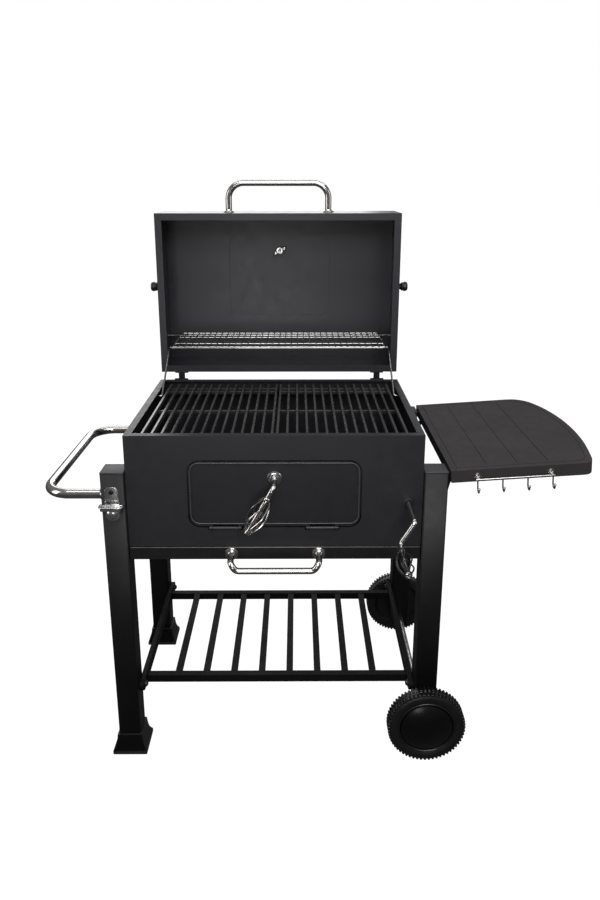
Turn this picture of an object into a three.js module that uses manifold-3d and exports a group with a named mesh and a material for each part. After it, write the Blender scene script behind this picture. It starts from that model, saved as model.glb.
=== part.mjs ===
// Charcoal trolley grill: box firebox and hinged box lid on four square legs, with a front
// charcoal door, a crank-lifted charcoal tray, an ash drawer, a warming rack, a fold-down side
// table and two wheels. Millimetres, +X right, +Y to the rear, +Z up, floor at z = 0.
import * as THREE from "three";
import Module from "manifold-3d";
import { mergeVertices } from "three/addons/utils/BufferGeometryUtils.js";

const wasm = await Module();
wasm.setup();

// ---- driving dimensions ----
const SHEET = 2; // sheet thickness of firebox, lid, tray and drawer
const GAP = 0.3; // gap between pieces that only stand beside each other
const BOX_W = 640; // firebox and lid, side to side
const BOX_D = 435; // firebox, front to back
const RIM_Z = 790;
const BOX_BOTTOM_Z = 532;
const FLANGE = 16; // rim flange, turned inwards
const LEG = 51;
const LEG_X = 346.5; // leg centre lines
const LEG_Y = 202.5;
const LEG_TOP = 707;
const WHEEL_R = 90;
const WHEEL_T = 34;
const LID_LEN = 423;
const LID_DEPTH = 158;
const LID_FLANGE = 18;
const LID_RIM_Y = 237; // plane of the open lid's rim
const LID_LOW_Z = 806; // lower edge of the open lid
const HINGE = { y: 229.25, z: 784.25 };
const HINGE_X = 266;
const LEG_PIVOT = { y: 105, z: 778 }; // rack leg on the firebox
const LINK = { y: 140, z: 95 }; // the same vector for rack legs and for lid arms
const DOOR = { x: 185, low: 580, high: 731, r: 24, hinge: 577 };
const LATCH = { z: 693, out: 47, turn: 28.7 };
const CRANK = { x: 289, z: 635, out: 92, arm: 58, turn: 31 };
const TABLE = { x0: 375, x1: 668, bulge: 40, y0: -233, y1: 222, top: 715, thick: 27, slope: 3.7 };
const TABLE_PIVOT = { x: 385, z: 694 };
const DOOR_HINGES = [-108, 103];
const THERMO_Z = 1120;
const VENT = { y: 318, z: 1028, ring: 27, hole: 9, r: 42 };
const TABLE_LUGS = [-194, 194];
const TABLE_PLANK = 66;
const DRAWER_LOW = 501;
const SHELF_Z = 166;

const FRONT = -BOX_D / 2;
const REAR = BOX_D / 2;
const SIDE = BOX_W / 2;
const LID_HIGH_Z = LID_LOW_Z + LID_LEN;
const LID_BACK_Y = LID_RIM_Y + LID_DEPTH;
const RACK_PIVOT = { y: HINGE.y + LINK.y, z: HINGE.z + LINK.z };
const LEG_HOOK = { y: LEG_PIVOT.y + LINK.y, z: LEG_PIVOT.z + LINK.z };
const DEG = Math.PI / 180;
const SMOOTH = 0.01; // faces flatter than this are merged

// ---- shape helpers: three.js geometry in, manifold solid out ----
function solid(geometry) {
  const g = geometry.clone();
  g.deleteAttribute("normal");
  g.deleteAttribute("uv");
  const m = mergeVertices(g, 1e-4);
  return new wasm.Manifold(
    new wasm.Mesh({
      numProp: 3,
      vertProperties: new Float32Array(m.attributes.position.array),
      triVerts: new Uint32Array(m.index.array),
    }),
  );
}

function box(x0, x1, y0, y1, z0, z1) {
  const g = new THREE.BoxGeometry(x1 - x0, y1 - y0, z1 - z0);
  g.translate((x0 + x1) / 2, (y0 + y1) / 2, (z0 + z1) / 2);
  return solid(g);
}

// a straight round bar between two points
function rod(a, b, r, sides = 16, r2 = r) {
  const from = new THREE.Vector3(...a);
  const to = new THREE.Vector3(...b);
  const g = new THREE.CylinderGeometry(r2, r, from.distanceTo(to), sides);
  g.translate(0, from.distanceTo(to) / 2, 0);
  const dir = to.clone().sub(from).normalize();
  g.applyQuaternion(new THREE.Quaternion().setFromUnitVectors(new THREE.Vector3(0, 1, 0), dir));
  g.translate(...a);
  return solid(g);
}

// a path through given stations, one extrusion step from each to the next
class Stations extends THREE.Curve {
  constructor(points) {
    super();
    this.points = points;
  }

  getPoint(t, out = new THREE.Vector3()) {
    const at = t * (this.points.length - 1);
    const i = Math.min(Math.floor(at), this.points.length - 2);
    return out.lerpVectors(this.points[i], this.points[i + 1], at - i);
  }

  getPointAt(t, out) {
    return this.getPoint(t, out);
  }

  getTangentAt(t, out = new THREE.Vector3()) {
    const i = Math.round(t * (this.points.length - 1));
    const before = this.points[Math.max(i - 1, 0)];
    const after = this.points[Math.min(i + 1, this.points.length - 1)];
    return out.subVectors(after, before).normalize();
  }
}

// a round tube or wire bent along points, each inner corner rounded to the bend radius
function bent(points, r, bend, sides = 12, steps = 5) {
  const p = points.map((q) => new THREE.Vector3(...q));
  const list = [p[0]];
  for (let i = 1; i < p.length - 1; i += 1) {
    const back = p[i - 1].clone().sub(p[i]).normalize();
    const on = p[i + 1].clone().sub(p[i]).normalize();
    const cut = bend / Math.tan(back.angleTo(on) / 2);
    const start = p[i].clone().addScaledVector(back, cut);
    const end = p[i].clone().addScaledVector(on, cut);
    list.push(...new THREE.QuadraticBezierCurve3(start, p[i], end).getPoints(steps));
  }
  list.push(p[p.length - 1]);
  return swept(new Stations(list), r, sides, list.length - 1);
}

function swept(path, r, sides, count) {
  const ring = new THREE.Shape();
  for (let i = 0; i < sides; i += 1) {
    const a = (i * 2 * Math.PI) / sides;
    const at = [r * Math.cos(a), r * Math.sin(a)];
    if (i === 0) {
      ring.moveTo(...at);
    } else {
      ring.lineTo(...at);
    }
  }
  ring.closePath();
  return solid(new THREE.ExtrudeGeometry(ring, { steps: count, extrudePath: path, bevelEnabled: false }));
}

// an outline with rounded corners, as a three.js shape
function rounded(x0, x1, y0, y1, r) {
  const s = new THREE.Shape();
  s.moveTo(x0 + r, y0);
  s.lineTo(x1 - r, y0);
  s.absarc(x1 - r, y0 + r, r, -Math.PI / 2, 0, false);
  s.lineTo(x1, y1 - r);
  s.absarc(x1 - r, y1 - r, r, 0, Math.PI / 2, false);
  s.lineTo(x0 + r, y1);
  s.absarc(x0 + r, y1 - r, r, Math.PI / 2, Math.PI, false);
  s.lineTo(x0, y0 + r);
  s.absarc(x0 + r, y0 + r, r, Math.PI, 1.5 * Math.PI, false);
  return s;
}

function slab(shape, depth, curve = 6) {
  return solid(new THREE.ExtrudeGeometry(shape, { depth, bevelEnabled: false, curveSegments: curve }));
}

// a slab drawn in X and Z that fills y0 to y1
function upright(shape, y0, y1, curve = 6) {
  return slab(shape, y1 - y0, curve).rotate([90, 0, 0]).translate([0, y1, 0]);
}

function lathe(points, segments) {
  const profile = points.map((q) => new THREE.Vector2(...q));
  return solid(new THREE.LatheGeometry(profile, segments));
}

function union(list) {
  return wasm.Manifold.union(list);
}

function turnedY(part, degrees, x, z) {
  return part.translate([-x, 0, -z]).rotate([0, degrees, 0]).translate([x, 0, z]);
}

// ---- materials ----
const PAINT = { color: 0x26272a, roughness: 0.5, metalness: 0.5 };
const DARK = { color: 0x17181a, roughness: 0.55, metalness: 0.4 };
const ENAMEL = { color: 0x141414, roughness: 0.35, metalness: 0.5 };
const CHROME = { color: 0xd6d6d6, roughness: 0.12, metalness: 1 };
const STEEL = { color: 0x9a9c9e, roughness: 0.35, metalness: 1 };
const PLASTIC = { color: 0x101112, roughness: 0.6, metalness: 0 };
const TABLE_GREY = { color: 0x2e2f31, roughness: 0.65, metalness: 0 };

const object = new THREE.Group();
object.name = "charcoal_trolley_grill";

function add(name, part, look) {
  const mesh = part.simplify(SMOOTH).getMesh();
  const g = new THREE.BufferGeometry();
  g.setAttribute("position", new THREE.BufferAttribute(new Float32Array(mesh.vertProperties), 3));
  g.setIndex(new THREE.BufferAttribute(new Uint32Array(mesh.triVerts), 1));
  g.computeVertexNormals();
  const piece = new THREE.Mesh(g, new THREE.MeshStandardMaterial(look));
  piece.name = name;
  object.add(piece);
}

// ---- firebox shell: four walls, rim flange, door opening, hinge pockets, crank hole ----
function fireboxShell() {
  const outer = box(-SIDE, SIDE, FRONT, REAR, BOX_BOTTOM_Z, RIM_Z);
  const hollow = box(
    -SIDE + SHEET, SIDE - SHEET, FRONT + SHEET, REAR - SHEET, BOX_BOTTOM_Z - 1, RIM_Z - SHEET,
  );
  const mouth = box(
    -SIDE + FLANGE, SIDE - FLANGE, FRONT + FLANGE, REAR - FLANGE, RIM_Z - 10, RIM_Z + 1,
  );
  const gap = 3;
  const opening = upright(
    rounded(-DOOR.x - gap, DOOR.x + gap, DOOR.hinge, DOOR.high + gap, DOOR.r + gap),
    FRONT - 1, FRONT + SHEET + 1,
  );
  let shell = outer.subtract(hollow).subtract(mouth).subtract(opening);
  for (const x of DOOR_HINGES) {
    shell = shell.subtract(box(x - 38, x + 38, FRONT - 1, FRONT + SHEET + 1, DOOR.hinge - 5.5, DOOR.hinge + 1));
  }
  shell = shell.subtract(rod([CRANK.x, FRONT - 1, CRANK.z], [CRANK.x, FRONT + 5, CRANK.z], 10, 18));
  shell = shell.subtract(rod([-SIDE - 1, LEG_PIVOT.y, LEG_PIVOT.z], [SIDE + 1, LEG_PIVOT.y, LEG_PIVOT.z], 2.8, 16));
  return shell;
}

// ledge inside the front or rear wall that carries the grates' cross rods
function grateLedge(sign) {
  const wall = sign * (BOX_D / 2 - SHEET);
  const inner = sign * (BOX_D / 2 - 34);
  const y0 = Math.min(wall, inner);
  const y1 = Math.max(wall, inner);
  const top = 766;
  const skirt = sign > 0 ? [y1 - SHEET, y1] : [y0, y0 + SHEET];
  return union([
    box(-SIDE + 24, SIDE - 24, y0, y1, top - SHEET, top),
    box(-SIDE + 24, SIDE - 24, skirt[0], skirt[1], top - 16, top),
  ]);
}

// one cooking grate: parallel bars over four cross rods
function grate(x0, x1) {
  const bars = 14;
  const half = 2.6;
  const list = [];
  for (let i = 0; i < bars; i += 1) {
    const x = x0 + half + ((x1 - x0 - 2 * half) * i) / (bars - 1);
    list.push(box(x - half, x + half, -198, 196, 773, 784));
  }
  for (const y of [-188, 0, 160, 188]) {
    list.push(box(x0, x1, y - 3, y + 3, 766.2, 774));
  }
  return union(list);
}

// charcoal tray: shallow pan with ash slots
function charcoalTray() {
  const x = 268;
  const y = 196;
  const low = 606;
  const high = 640;
  const pan = box(-x, x, -y, y, low, high);
  const hollow = box(-x + SHEET, x - SHEET, -y + SHEET, y - SHEET, low + SHEET, high + 1);
  const slots = [];
  for (let i = -6; i <= 6; i += 1) {
    for (const row of [-110, 0, 110]) {
      slots.push(box(i * 38 - 5, i * 38 + 5, row - 38, row + 38, low - 1, low + SHEET + 1));
    }
  }
  return pan.subtract(hollow).subtract(union(slots));
}

// ---- ash drawer, its runners and its tube handle ----
function ashDrawer() {
  const x = 314;
  const low = DRAWER_LOW + 3;
  const high = BOX_BOTTOM_Z - 2;
  const body = box(-x, x, FRONT, 204, low, high);
  const hollow = box(-x + SHEET, x - SHEET, FRONT + SHEET, 204 - SHEET, low + SHEET, high + 1);
  const front = box(-SIDE + 0.5, SIDE - 0.5, FRONT - SHEET, FRONT + 0.5, DRAWER_LOW, BOX_BOTTOM_Z - 1);
  return body.subtract(hollow).add(front);
}

function drawerRunner(side) {
  const x0 = side * 316;
  const x1 = side * 319.5;
  const lip = side * 300;
  const z = DRAWER_LOW;
  return union([
    box(Math.min(x0, x1), Math.max(x0, x1), FRONT + 3, 206, z, BOX_BOTTOM_Z - 0.01),
    box(Math.min(lip, x1), Math.max(lip, x1), FRONT + 3, 206, z, z + 2.5),
  ]);
}

function drawerHandle() {
  const y = FRONT - SHEET - 0.05;
  const x = 96;
  const high = 515;
  const out = y - 42;
  const list = [bent(
    [[-x, y - 1, high], [-x, out + 6, high - 4], [-x + 20, out, 499], [x - 20, out, 499],
      [x, out + 6, high - 4], [x, y - 1, high]],
    6, 9, 10, 4,
  )];
  for (const side of [-1, 1]) {
    list.push(rod([side * x, y, high], [side * x, y - 3, high], 14.5, 22));
    list.push(rod([side * x, y - 3, high], [side * x, y - 6, high], 9, 18));
  }
  return union(list);
}

// ---- charcoal door, hung at its lower edge ----
function door() {
  const y0 = FRONT;
  const y1 = FRONT + SHEET;
  const panel = upright(rounded(-DOOR.x, DOOR.x, DOOR.low, DOOR.high, DOOR.r), y0, y1);
  const field = upright(
    rounded(-DOOR.x + 9, DOOR.x - 9, DOOR.low + 9, DOOR.high - 9, DOOR.r - 8), y0 - 1.2, y0 + 0.5,
  );
  let part = panel.add(field);
  for (const x of DOOR_HINGES) {
    part = part.subtract(box(x - 27, x + 27, y0 - 3, y1 + 3, DOOR.low - 1, DOOR.low + 4));
    for (const side of [-1, 1]) {
      const a = x + side * 27.3;
      const b = x + side * 35;
      const ear = rod([a, FRONT - 2, DOOR.hinge], [b, FRONT - 2, DOOR.hinge], 4, 14);
      const web = box(Math.min(a, b), Math.max(a, b), y0 - 1, y1, DOOR.hinge, DOOR.low + 6);
      part = part.add(ear).add(web);
      part = part.subtract(rod([a - 9, FRONT - 2, DOOR.hinge], [a + 9, FRONT - 2, DOOR.hinge], 2.3, 14));
    }
  }
  const y = FRONT;
  return part.subtract(rod([0, y - 5, LATCH.z], [0, y + 5, LATCH.z], 6.4, 22));
}

function doorHinge(x) {
  const y = FRONT - 2;
  return union([
    rod([x - 26.7, y, DOOR.hinge], [x + 26.7, y, DOOR.hinge], 4, 14),
    rod([x - 35, y, DOOR.hinge], [x + 35, y, DOOR.hinge], 2.2, 14),
    box(x - 24, x + 24, y - 0.5, FRONT - 0.05, DOOR.hinge - 22, DOOR.hinge),
  ]);
}

// round plate on the door around the latch spindle
function escutcheon() {
  const y = FRONT - 1.25;
  const plate = rod([0, y, LATCH.z], [0, y - 3, LATCH.z], 16, 26, 14);
  return plate.subtract(rod([0, y + 1, LATCH.z], [0, y - 4, LATCH.z], 6.4, 22));
}

// ---- bulging wire grip, built from the origin along +Z ----
function cageGrip(length, wide) {
  const wires = 4;
  const r = 1.9;
  const steps = 9;
  const list = [];
  class Helix extends THREE.Curve {
    constructor(start) {
      super();
      this.start = start;
    }

    getPoint(t, out = new THREE.Vector3()) {
      const a = this.start + t * Math.PI * 1.1;
      const bulge = 4.2 + (wide / 2 - r - 4.2) * Math.sin(Math.PI * t) ** 0.8;
      return out.set(bulge * Math.cos(a), bulge * Math.sin(a), 5 + t * (length - 10));
    }
  }
  for (let i = 0; i < wires; i += 1) {
    list.push(swept(new Helix((i * 2 * Math.PI) / wires), r, 5, steps));
  }
  list.push(rod([0, 0, 5], [0, 0, length - 5], 3.4, 8));
  list.push(rod([0, 0, 0], [0, 0, 11], 8, 16));
  list.push(rod([0, 0, length - 11], [0, 0, length], 8, 16, 6.5));
  return union(list);
}

function latchArm() {
  const y = FRONT - LATCH.out;
  const a = LATCH.turn * DEG;
  const down = [-Math.sin(a), -Math.cos(a)];
  return union([
    bent(
      [[0, FRONT + 4, LATCH.z], [0, y, LATCH.z], [down[0] * 26, y, LATCH.z + down[1] * 26]], 6, 11, 16, 6,
    ),
    rod([0, FRONT - 4.6, LATCH.z], [0, FRONT - 8, LATCH.z], 9, 18),
  ]);
}

function latchGrip() {
  const y = FRONT - LATCH.out;
  const part = cageGrip(96, 44).rotate([180, 0, 0]).translate([0, 0, -26.05]);
  return part.rotate([0, LATCH.turn, 0]).translate([0, y, LATCH.z]);
}

// tongue on the inner end of the spindle
function latchTongue() {
  const s = new THREE.Shape();
  s.moveTo(-8, -9);
  s.lineTo(8, -9);
  s.lineTo(8, 12);
  s.lineTo(3, 44.5);
  s.lineTo(-3, 44.5);
  s.lineTo(-8, 12);
  s.closePath();
  const y = FRONT + 4.05;
  return upright(s, y, y + 3).rotate([0, LATCH.turn, 0]).translate([0, 0, LATCH.z]);
}

// ---- crank: shaft with chain drums, bent arm, wire grip ----
function crankShaft() {
  const y = FRONT - CRANK.out;
  const a = CRANK.turn * DEG;
  const x = CRANK.x - CRANK.arm * Math.sin(a);
  const z = CRANK.z - CRANK.arm * Math.cos(a);
  return union([
    bent([[CRANK.x, 190, CRANK.z], [CRANK.x, y, CRANK.z], [x, y, z], [x, y - 24, z]], 5, 10, 12, 5),
    rod([CRANK.x, -176, CRANK.z], [CRANK.x, -160, CRANK.z], 12, 18),
    rod([CRANK.x, 160, CRANK.z], [CRANK.x, 176, CRANK.z], 12, 18),
    rod([CRANK.x, FRONT - 6, CRANK.z], [CRANK.x, FRONT - 12, CRANK.z], 10, 18),
  ]);
}

function crankGrip() {
  const a = CRANK.turn * DEG;
  const x = CRANK.x - CRANK.arm * Math.sin(a);
  const z = CRANK.z - CRANK.arm * Math.cos(a);
  return cageGrip(96, 36).rotate([90, 0, 0]).translate([x, FRONT - CRANK.out - 24.05, z]);
}

function crankBushing() {
  const body = union([
    rod([CRANK.x, FRONT - 0.05, CRANK.z], [CRANK.x, FRONT - 5, CRANK.z], 15, 24),
    rod([CRANK.x, FRONT - 1, CRANK.z], [CRANK.x, FRONT + 5, CRANK.z], 9.7, 22),
  ]);
  return body.subtract(rod([CRANK.x, FRONT - 6, CRANK.z], [CRANK.x, FRONT + 6, CRANK.z], 5.15, 16));
}

// ---- lid: open box with an inward rim flange, modelled standing open ----
function lidShell() {
  const outer = box(-SIDE, SIDE, LID_RIM_Y, LID_BACK_Y, LID_LOW_Z, LID_HIGH_Z);
  const hollow = box(
    -SIDE + SHEET, SIDE - SHEET, LID_RIM_Y + SHEET, LID_BACK_Y - SHEET,
    LID_LOW_Z + SHEET, LID_HIGH_Z - SHEET,
  );
  const mouth = box(
    -SIDE + LID_FLANGE, SIDE - LID_FLANGE, LID_RIM_Y - 1, LID_RIM_Y + 10,
    LID_LOW_Z + LID_FLANGE, LID_HIGH_Z - LID_FLANGE,
  );
  const pan = upright(rounded(-145, 145, 931, 1165, 30), LID_BACK_Y - 1, LID_BACK_Y + 3);
  const panHollow = upright(rounded(-142, 142, 934, 1162, 27), LID_BACK_Y - 6, LID_BACK_Y + 1.2);
  let shell = outer.subtract(hollow).subtract(mouth).add(pan).subtract(panHollow);
  shell = shell.subtract(rod([0, LID_BACK_Y - 9, THERMO_Z], [0, LID_BACK_Y + 9, THERMO_Z], 5.2, 18));
  for (const side of [-1, 1]) {
    const a = side * (SIDE - 6);
    const b = side * (SIDE + 2);
    shell = shell.subtract(rod([a, RACK_PIVOT.y, RACK_PIVOT.z], [b, RACK_PIVOT.y, RACK_PIVOT.z], 2.8, 16));
    shell = shell.subtract(rod([a, VENT.y, VENT.z], [b, VENT.y, VENT.z], 4.2, 14));
    for (let i = 0; i < 3; i += 1) {
      const t = (i * 120 - 90) * DEG;
      const y = VENT.y + VENT.ring * Math.cos(t);
      const z = VENT.z + VENT.ring * Math.sin(t);
      shell = shell.subtract(rod([a, y, z], [b, y, z], VENT.hole, 14));
    }
  }
  return shell;
}

function lidHandle() {
  const y = 300;
  const x = 132;
  const z = LID_HIGH_Z + 0.05;
  const list = [bent([[-x, y, z], [-x, y, z + 73], [x, y, z + 73], [x, y, z]], 7.5, 36, 12, 6)];
  for (const side of [-1, 1]) {
    list.push(rod([side * x, y, z], [side * x, y, z + 3], 15, 22));
    list.push(rod([side * x, y, z + 3], [side * x, y, z + 7], 10.5, 18));
  }
  return union(list);
}

// dial outside the lid's top, stem through it
function thermometer() {
  const y = LID_BACK_Y + 1.25;
  return union([
    rod([0, y + 2, THERMO_Z], [0, y + 6, THERMO_Z], 33, 28),
    rod([0, y + 6, THERMO_Z], [0, y + 17, THERMO_Z], 33, 28, 30),
    rod([0, LID_BACK_Y - 44, THERMO_Z], [0, y + 3, THERMO_Z], 4.5, 14),
  ]);
}

function thermometerNut() {
  const y = LID_BACK_Y - 14;
  const hub = rod([0, y, THERMO_Z], [0, y + 10, THERMO_Z], 9, 18);
  const wings = box(-15, 15, y + 1, y + 9, THERMO_Z - 2, THERMO_Z + 2);
  return hub.add(wings).subtract(rod([0, y - 1, THERMO_Z], [0, y + 11, THERMO_Z], 4.6, 14));
}

// turning vent disc with its knob, stem and inner washer
function ventDisc(side) {
  const x = (d) => side * (SIDE + d);
  const at = (d, y = VENT.y, z = VENT.z) => [x(d), y, z];
  let disc = rod(at(0.4), at(2), VENT.r, 28);
  for (let i = 0; i < 3; i += 1) {
    const t = (i * 120 - 90 + 24) * DEG;
    const y = VENT.y + VENT.ring * Math.cos(t);
    const z = VENT.z + VENT.ring * Math.sin(t);
    disc = disc.subtract(rod(at(-1, y, z), at(4, y, z), VENT.hole, 14));
  }
  return union([
    disc,
    rod(at(-5), at(12), 3.9, 14),
    rod(at(-4.6), at(-2.4), 8, 14),
    rod(at(12), at(18), 7, 14, 12),
    rod(at(18), at(32), 12, 18, 9.5),
  ]);
}

// ---- lid hinges ----
function hingeLower(x) {
  const w = 17.5;
  return union([
    box(x - w, x + w, REAR + 0.05, REAR + 3, 742, HINGE.z + 1),
    box(x - w, x - w / 2, REAR + 1, HINGE.y, HINGE.z - 5.5, HINGE.z + 1),
    box(x + w / 2, x + w, REAR + 1, HINGE.y, HINGE.z - 5.5, HINGE.z + 1),
    rod([x - w, HINGE.y, HINGE.z], [x - w / 2, HINGE.y, HINGE.z], 6, 18),
    rod([x + w / 2, HINGE.y, HINGE.z], [x + w, HINGE.y, HINGE.z], 6, 18),
    rod([x - w - 2, HINGE.y, HINGE.z], [x + w + 2, HINGE.y, HINGE.z], 2.5, 14),
  ]);
}

function hingeUpper(x) {
  const w = 17.5 / 2 - 0.3;
  const wide = 17.5;
  const body = union([
    rod([x - w, HINGE.y, HINGE.z], [x + w, HINGE.y, HINGE.z], 6, 18),
    box(x - w, x + w, HINGE.y, LID_RIM_Y + 3, HINGE.z - 3, HINGE.z + 3),
    box(x - w, x + w, LID_RIM_Y, LID_RIM_Y + 3, HINGE.z - 3, LID_LOW_Z - 0.05),
    box(x - wide, x + wide, LID_RIM_Y, LID_RIM_Y + 34, LID_LOW_Z - 3, LID_LOW_Z - 0.05),
  ]);
  return body.subtract(rod([x - w - 1, HINGE.y, HINGE.z], [x + w + 1, HINGE.y, HINGE.z], 2.6, 14));
}

// ---- warming rack and its two legs: with lid and firebox they form a parallelogram ----
function warmingRack() {
  const x = 284;
  const front = 200;
  const back = 386;
  const z = 881.5;
  const r = 2.4;
  const list = [];
  for (const y of [front, front + 12, LEG_HOOK.y + 6, 330, back]) {
    list.push(rod([-x, y, z], [x, y, z], r, 6));
  }
  for (const side of [-1, 1]) {
    list.push(rod([side * x, front, z], [side * x, back, z], r, 6));
    const lug = box(
      Math.min(side * (x - 1), side * (x + 1)), Math.max(side * (x - 1), side * (x + 1)),
      LEG_HOOK.y - 8, LEG_HOOK.y + 8, LEG_HOOK.z - 7, z,
    );
    list.push(lug);
  }
  const wires = 14;
  for (let i = 1; i < wires; i += 1) {
    const at = -x + (2 * x * i) / wires;
    list.push(box(at - 1.5, at + 1.5, front, back, z + 1, z + 4));
  }
  list.push(rod([-SIDE - 5, RACK_PIVOT.y, RACK_PIVOT.z], [SIDE + 5, RACK_PIVOT.y, RACK_PIVOT.z], 2.5, 12));
  let rack = union(list);
  for (const side of [-1, 1]) {
    const a = [side * (x - 4), LEG_HOOK.y, LEG_HOOK.z];
    const b = [side * (x + 4), LEG_HOOK.y, LEG_HOOK.z];
    rack = rack.subtract(rod(a, b, 3, 16));
  }
  return rack;
}

function rackLeg(side) {
  const plane = side * 296.5;
  return bent(
    [[side * (SIDE + 4), LEG_PIVOT.y, LEG_PIVOT.z], [plane, LEG_PIVOT.y, LEG_PIVOT.z],
      [plane, LEG_HOOK.y, LEG_HOOK.z], [side * 279, LEG_HOOK.y, LEG_HOOK.z]],
    2.4, 4, 12, 5,
  );
}

// ---- legs, caps and feet ----
function leg(xs, ys) {
  const x = xs * LEG_X;
  const y = ys * LEG_Y;
  const h = LEG / 2;
  const wall = 2;
  const low = xs < 0 ? 10 : 58;
  const tube = box(x - h, x + h, y - h, y + h, low, LEG_TOP);
  const inner = box(x - h + wall, x + h - wall, y - h + wall, y + h - wall, low - 1, LEG_TOP + 1);
  let part = tube.subtract(inner);
  if (xs > 0) {
    part = part.subtract(rod([x, y - h - 1, WHEEL_R], [x, y + h + 1, WHEEL_R], 5.2, 14));
  }
  return part;
}

function legCap(xs, ys) {
  const x = xs * LEG_X;
  const y = ys * LEG_Y;
  const h = LEG / 2;
  const p = h - 2.3;
  return union([
    box(x - h, x + h, y - h, y + h, LEG_TOP + 0.05, LEG_TOP + 3),
    box(x - p, x + p, y - p, y + p, LEG_TOP - 12, LEG_TOP + 1),
  ]);
}

function foot(ys) {
  const x = -LEG_X;
  const y = ys * LEG_Y;
  const step = (w0, d0, w1, d1, z0, z1) => {
    const g = new THREE.CylinderGeometry(Math.SQRT1_2, Math.SQRT1_2, 1, 4);
    g.rotateY(Math.PI / 4);
    g.rotateX(Math.PI / 2);
    const p = g.attributes.position;
    for (let i = 0; i < p.count; i += 1) {
      const top = p.getZ(i) > 0;
      p.setXYZ(i, x + p.getX(i) * (top ? w1 : w0), y + p.getY(i) * (top ? d1 : d0), top ? z1 : z0);
    }
    return solid(g);
  };
  const body = union([
    step(80, 76, 80, 76, 0, 8),
    step(80, 76, 67, 66, 7.9, 18),
    step(67, 66, 60, 60, 17.9, 32),
    step(60, 60, 58, 58, 31.9, 48),
  ]);
  const h = LEG / 2 + 0.2;
  return body.subtract(box(x - h, x + h, y - h, y + h, 9.8, 60));
}

// ---- lower shelf and axle ----
function shelfRail(side) {
  const inner = side * (LEG_X - LEG / 2 - GAP);
  const x = Math.min(inner, inner - side * 12);
  const s = rounded(-LEG_Y - 16, LEG_Y + 16, SHELF_Z - 13, SHELF_Z + 13, 12);
  return slab(s, 12).rotate([90, 0, 90]).translate([x, 0, 0]);
}

function shelfGrid() {
  const x = LEG_X - LEG / 2 - GAP - 12.05;
  const list = [
    box(-x, x, -182, -166, SHELF_Z - 13, SHELF_Z + 6),
    box(-x, x, 160, 176, SHELF_Z - 13, SHELF_Z + 6),
  ];
  for (let i = 0; i < 8; i += 1) {
    const at = -236 + i * 66.5;
    list.push(box(at - 8, at + 8, -170, 164, SHELF_Z - 2, SHELF_Z + 5));
  }
  return union(list);
}

function axle() {
  const y = LEG_Y + LEG / 2 + WHEEL_T + 9;
  return rod([LEG_X, -y, WHEEL_R], [LEG_X, y, WHEEL_R], 5, 14);
}

// ---- wheels: moulded tyre with lugs on a dished disc ----
function tyre(side) {
  const r = WHEEL_R;
  const t = WHEEL_T / 2;
  let body = lathe(
    [[66, -t], [r - 8, -t], [r - 3, -t + 5], [r - 3, t - 5], [r - 8, t], [66, t], [66, -t]], 32,
  );
  const lugs = [];
  const count = 24;
  for (let i = 0; i < count; i += 1) {
    const lug = (z0, z1, turn) => {
      const g = new THREE.BoxGeometry(5, z1 - z0, 4.6);
      g.translate(r - 2.5, (z0 + z1) / 2, 0);
      g.rotateY(turn);
      return solid(g);
    };
    lugs.push(lug(1, t - 2, (i * 2 * Math.PI) / count));
    lugs.push(lug(-t + 2, -1, ((i + 0.5) * 2 * Math.PI) / count));
  }
  body = union([body, ...lugs]);
  return wheelPlace(body, side);
}

function wheelPlace(part, side) {
  const y = side * (LEG_Y + LEG / 2 + 2 + WHEEL_T / 2);
  const turned = side > 0 ? part : part.rotate([180, 0, 0]);
  return turned.translate([LEG_X, y, WHEEL_R]);
}

function wheelDisc(side) {
  const t = WHEEL_T / 2;
  const part = lathe(
    [[5.1, -t], [18, -t], [20, -t + 8], [58, -t + 9], [65.95, -t + 2], [65.95, t - 1], [61, t - 2], [56, t - 8],
      [20, t - 1], [5.1, t - 1], [5.1, -t]],
    32,
  );
  return wheelPlace(part, side);
}

// large domed cap over the hub, pressed on the axle's end
function hubCap(side) {
  const t = WHEEL_T / 2;
  const part = lathe(
    [[0, t + 9.5], [5.4, t + 9.5], [5.4, t - 0.8], [20, t - 0.8], [55, t - 6], [58, t - 4], [50, t + 1.5],
      [36, t + 7], [18, t + 11], [0, t + 12]], 26,
  );
  return wheelPlace(part, side);
}

// ---- push handle and bottle opener ----
function sideHandle() {
  const x = -LEG_X - LEG / 2 - 0.05;
  const z = 652;
  const far = -503;
  const list = [bent([[x, -204, z], [far, -204, z], [far, 204, z], [x, 204, z]], 10, 46, 14, 6)];
  for (const y of [-204, 204]) {
    list.push(rod([x, y, z], [x - 3, y, z], 15, 22));
  }
  return union(list).subtract(box(x, x + 20, -260, 260, z - 30, z + 30));
}

function bottleOpener() {
  const y = -LEG_Y - LEG / 2 - 0.05;
  const x = -LEG_X - 2;
  const plate = upright(rounded(x - 15, x + 15, 600, 678, 9), y - 2, y);
  const hood = box(x - 25, x + 25, y - 18, y, 634, 638).subtract(box(x - 15, x + 15, y - 14, y - 5, 630, 645));
  const lip = box(x - 25, x + 25, y - 20, y - 17, 630, 642);
  const screw = rod([x, y - 1, 668], [x, y - 5, 668], 5, 14);
  return union([plate, hood, lip, screw]);
}

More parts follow.
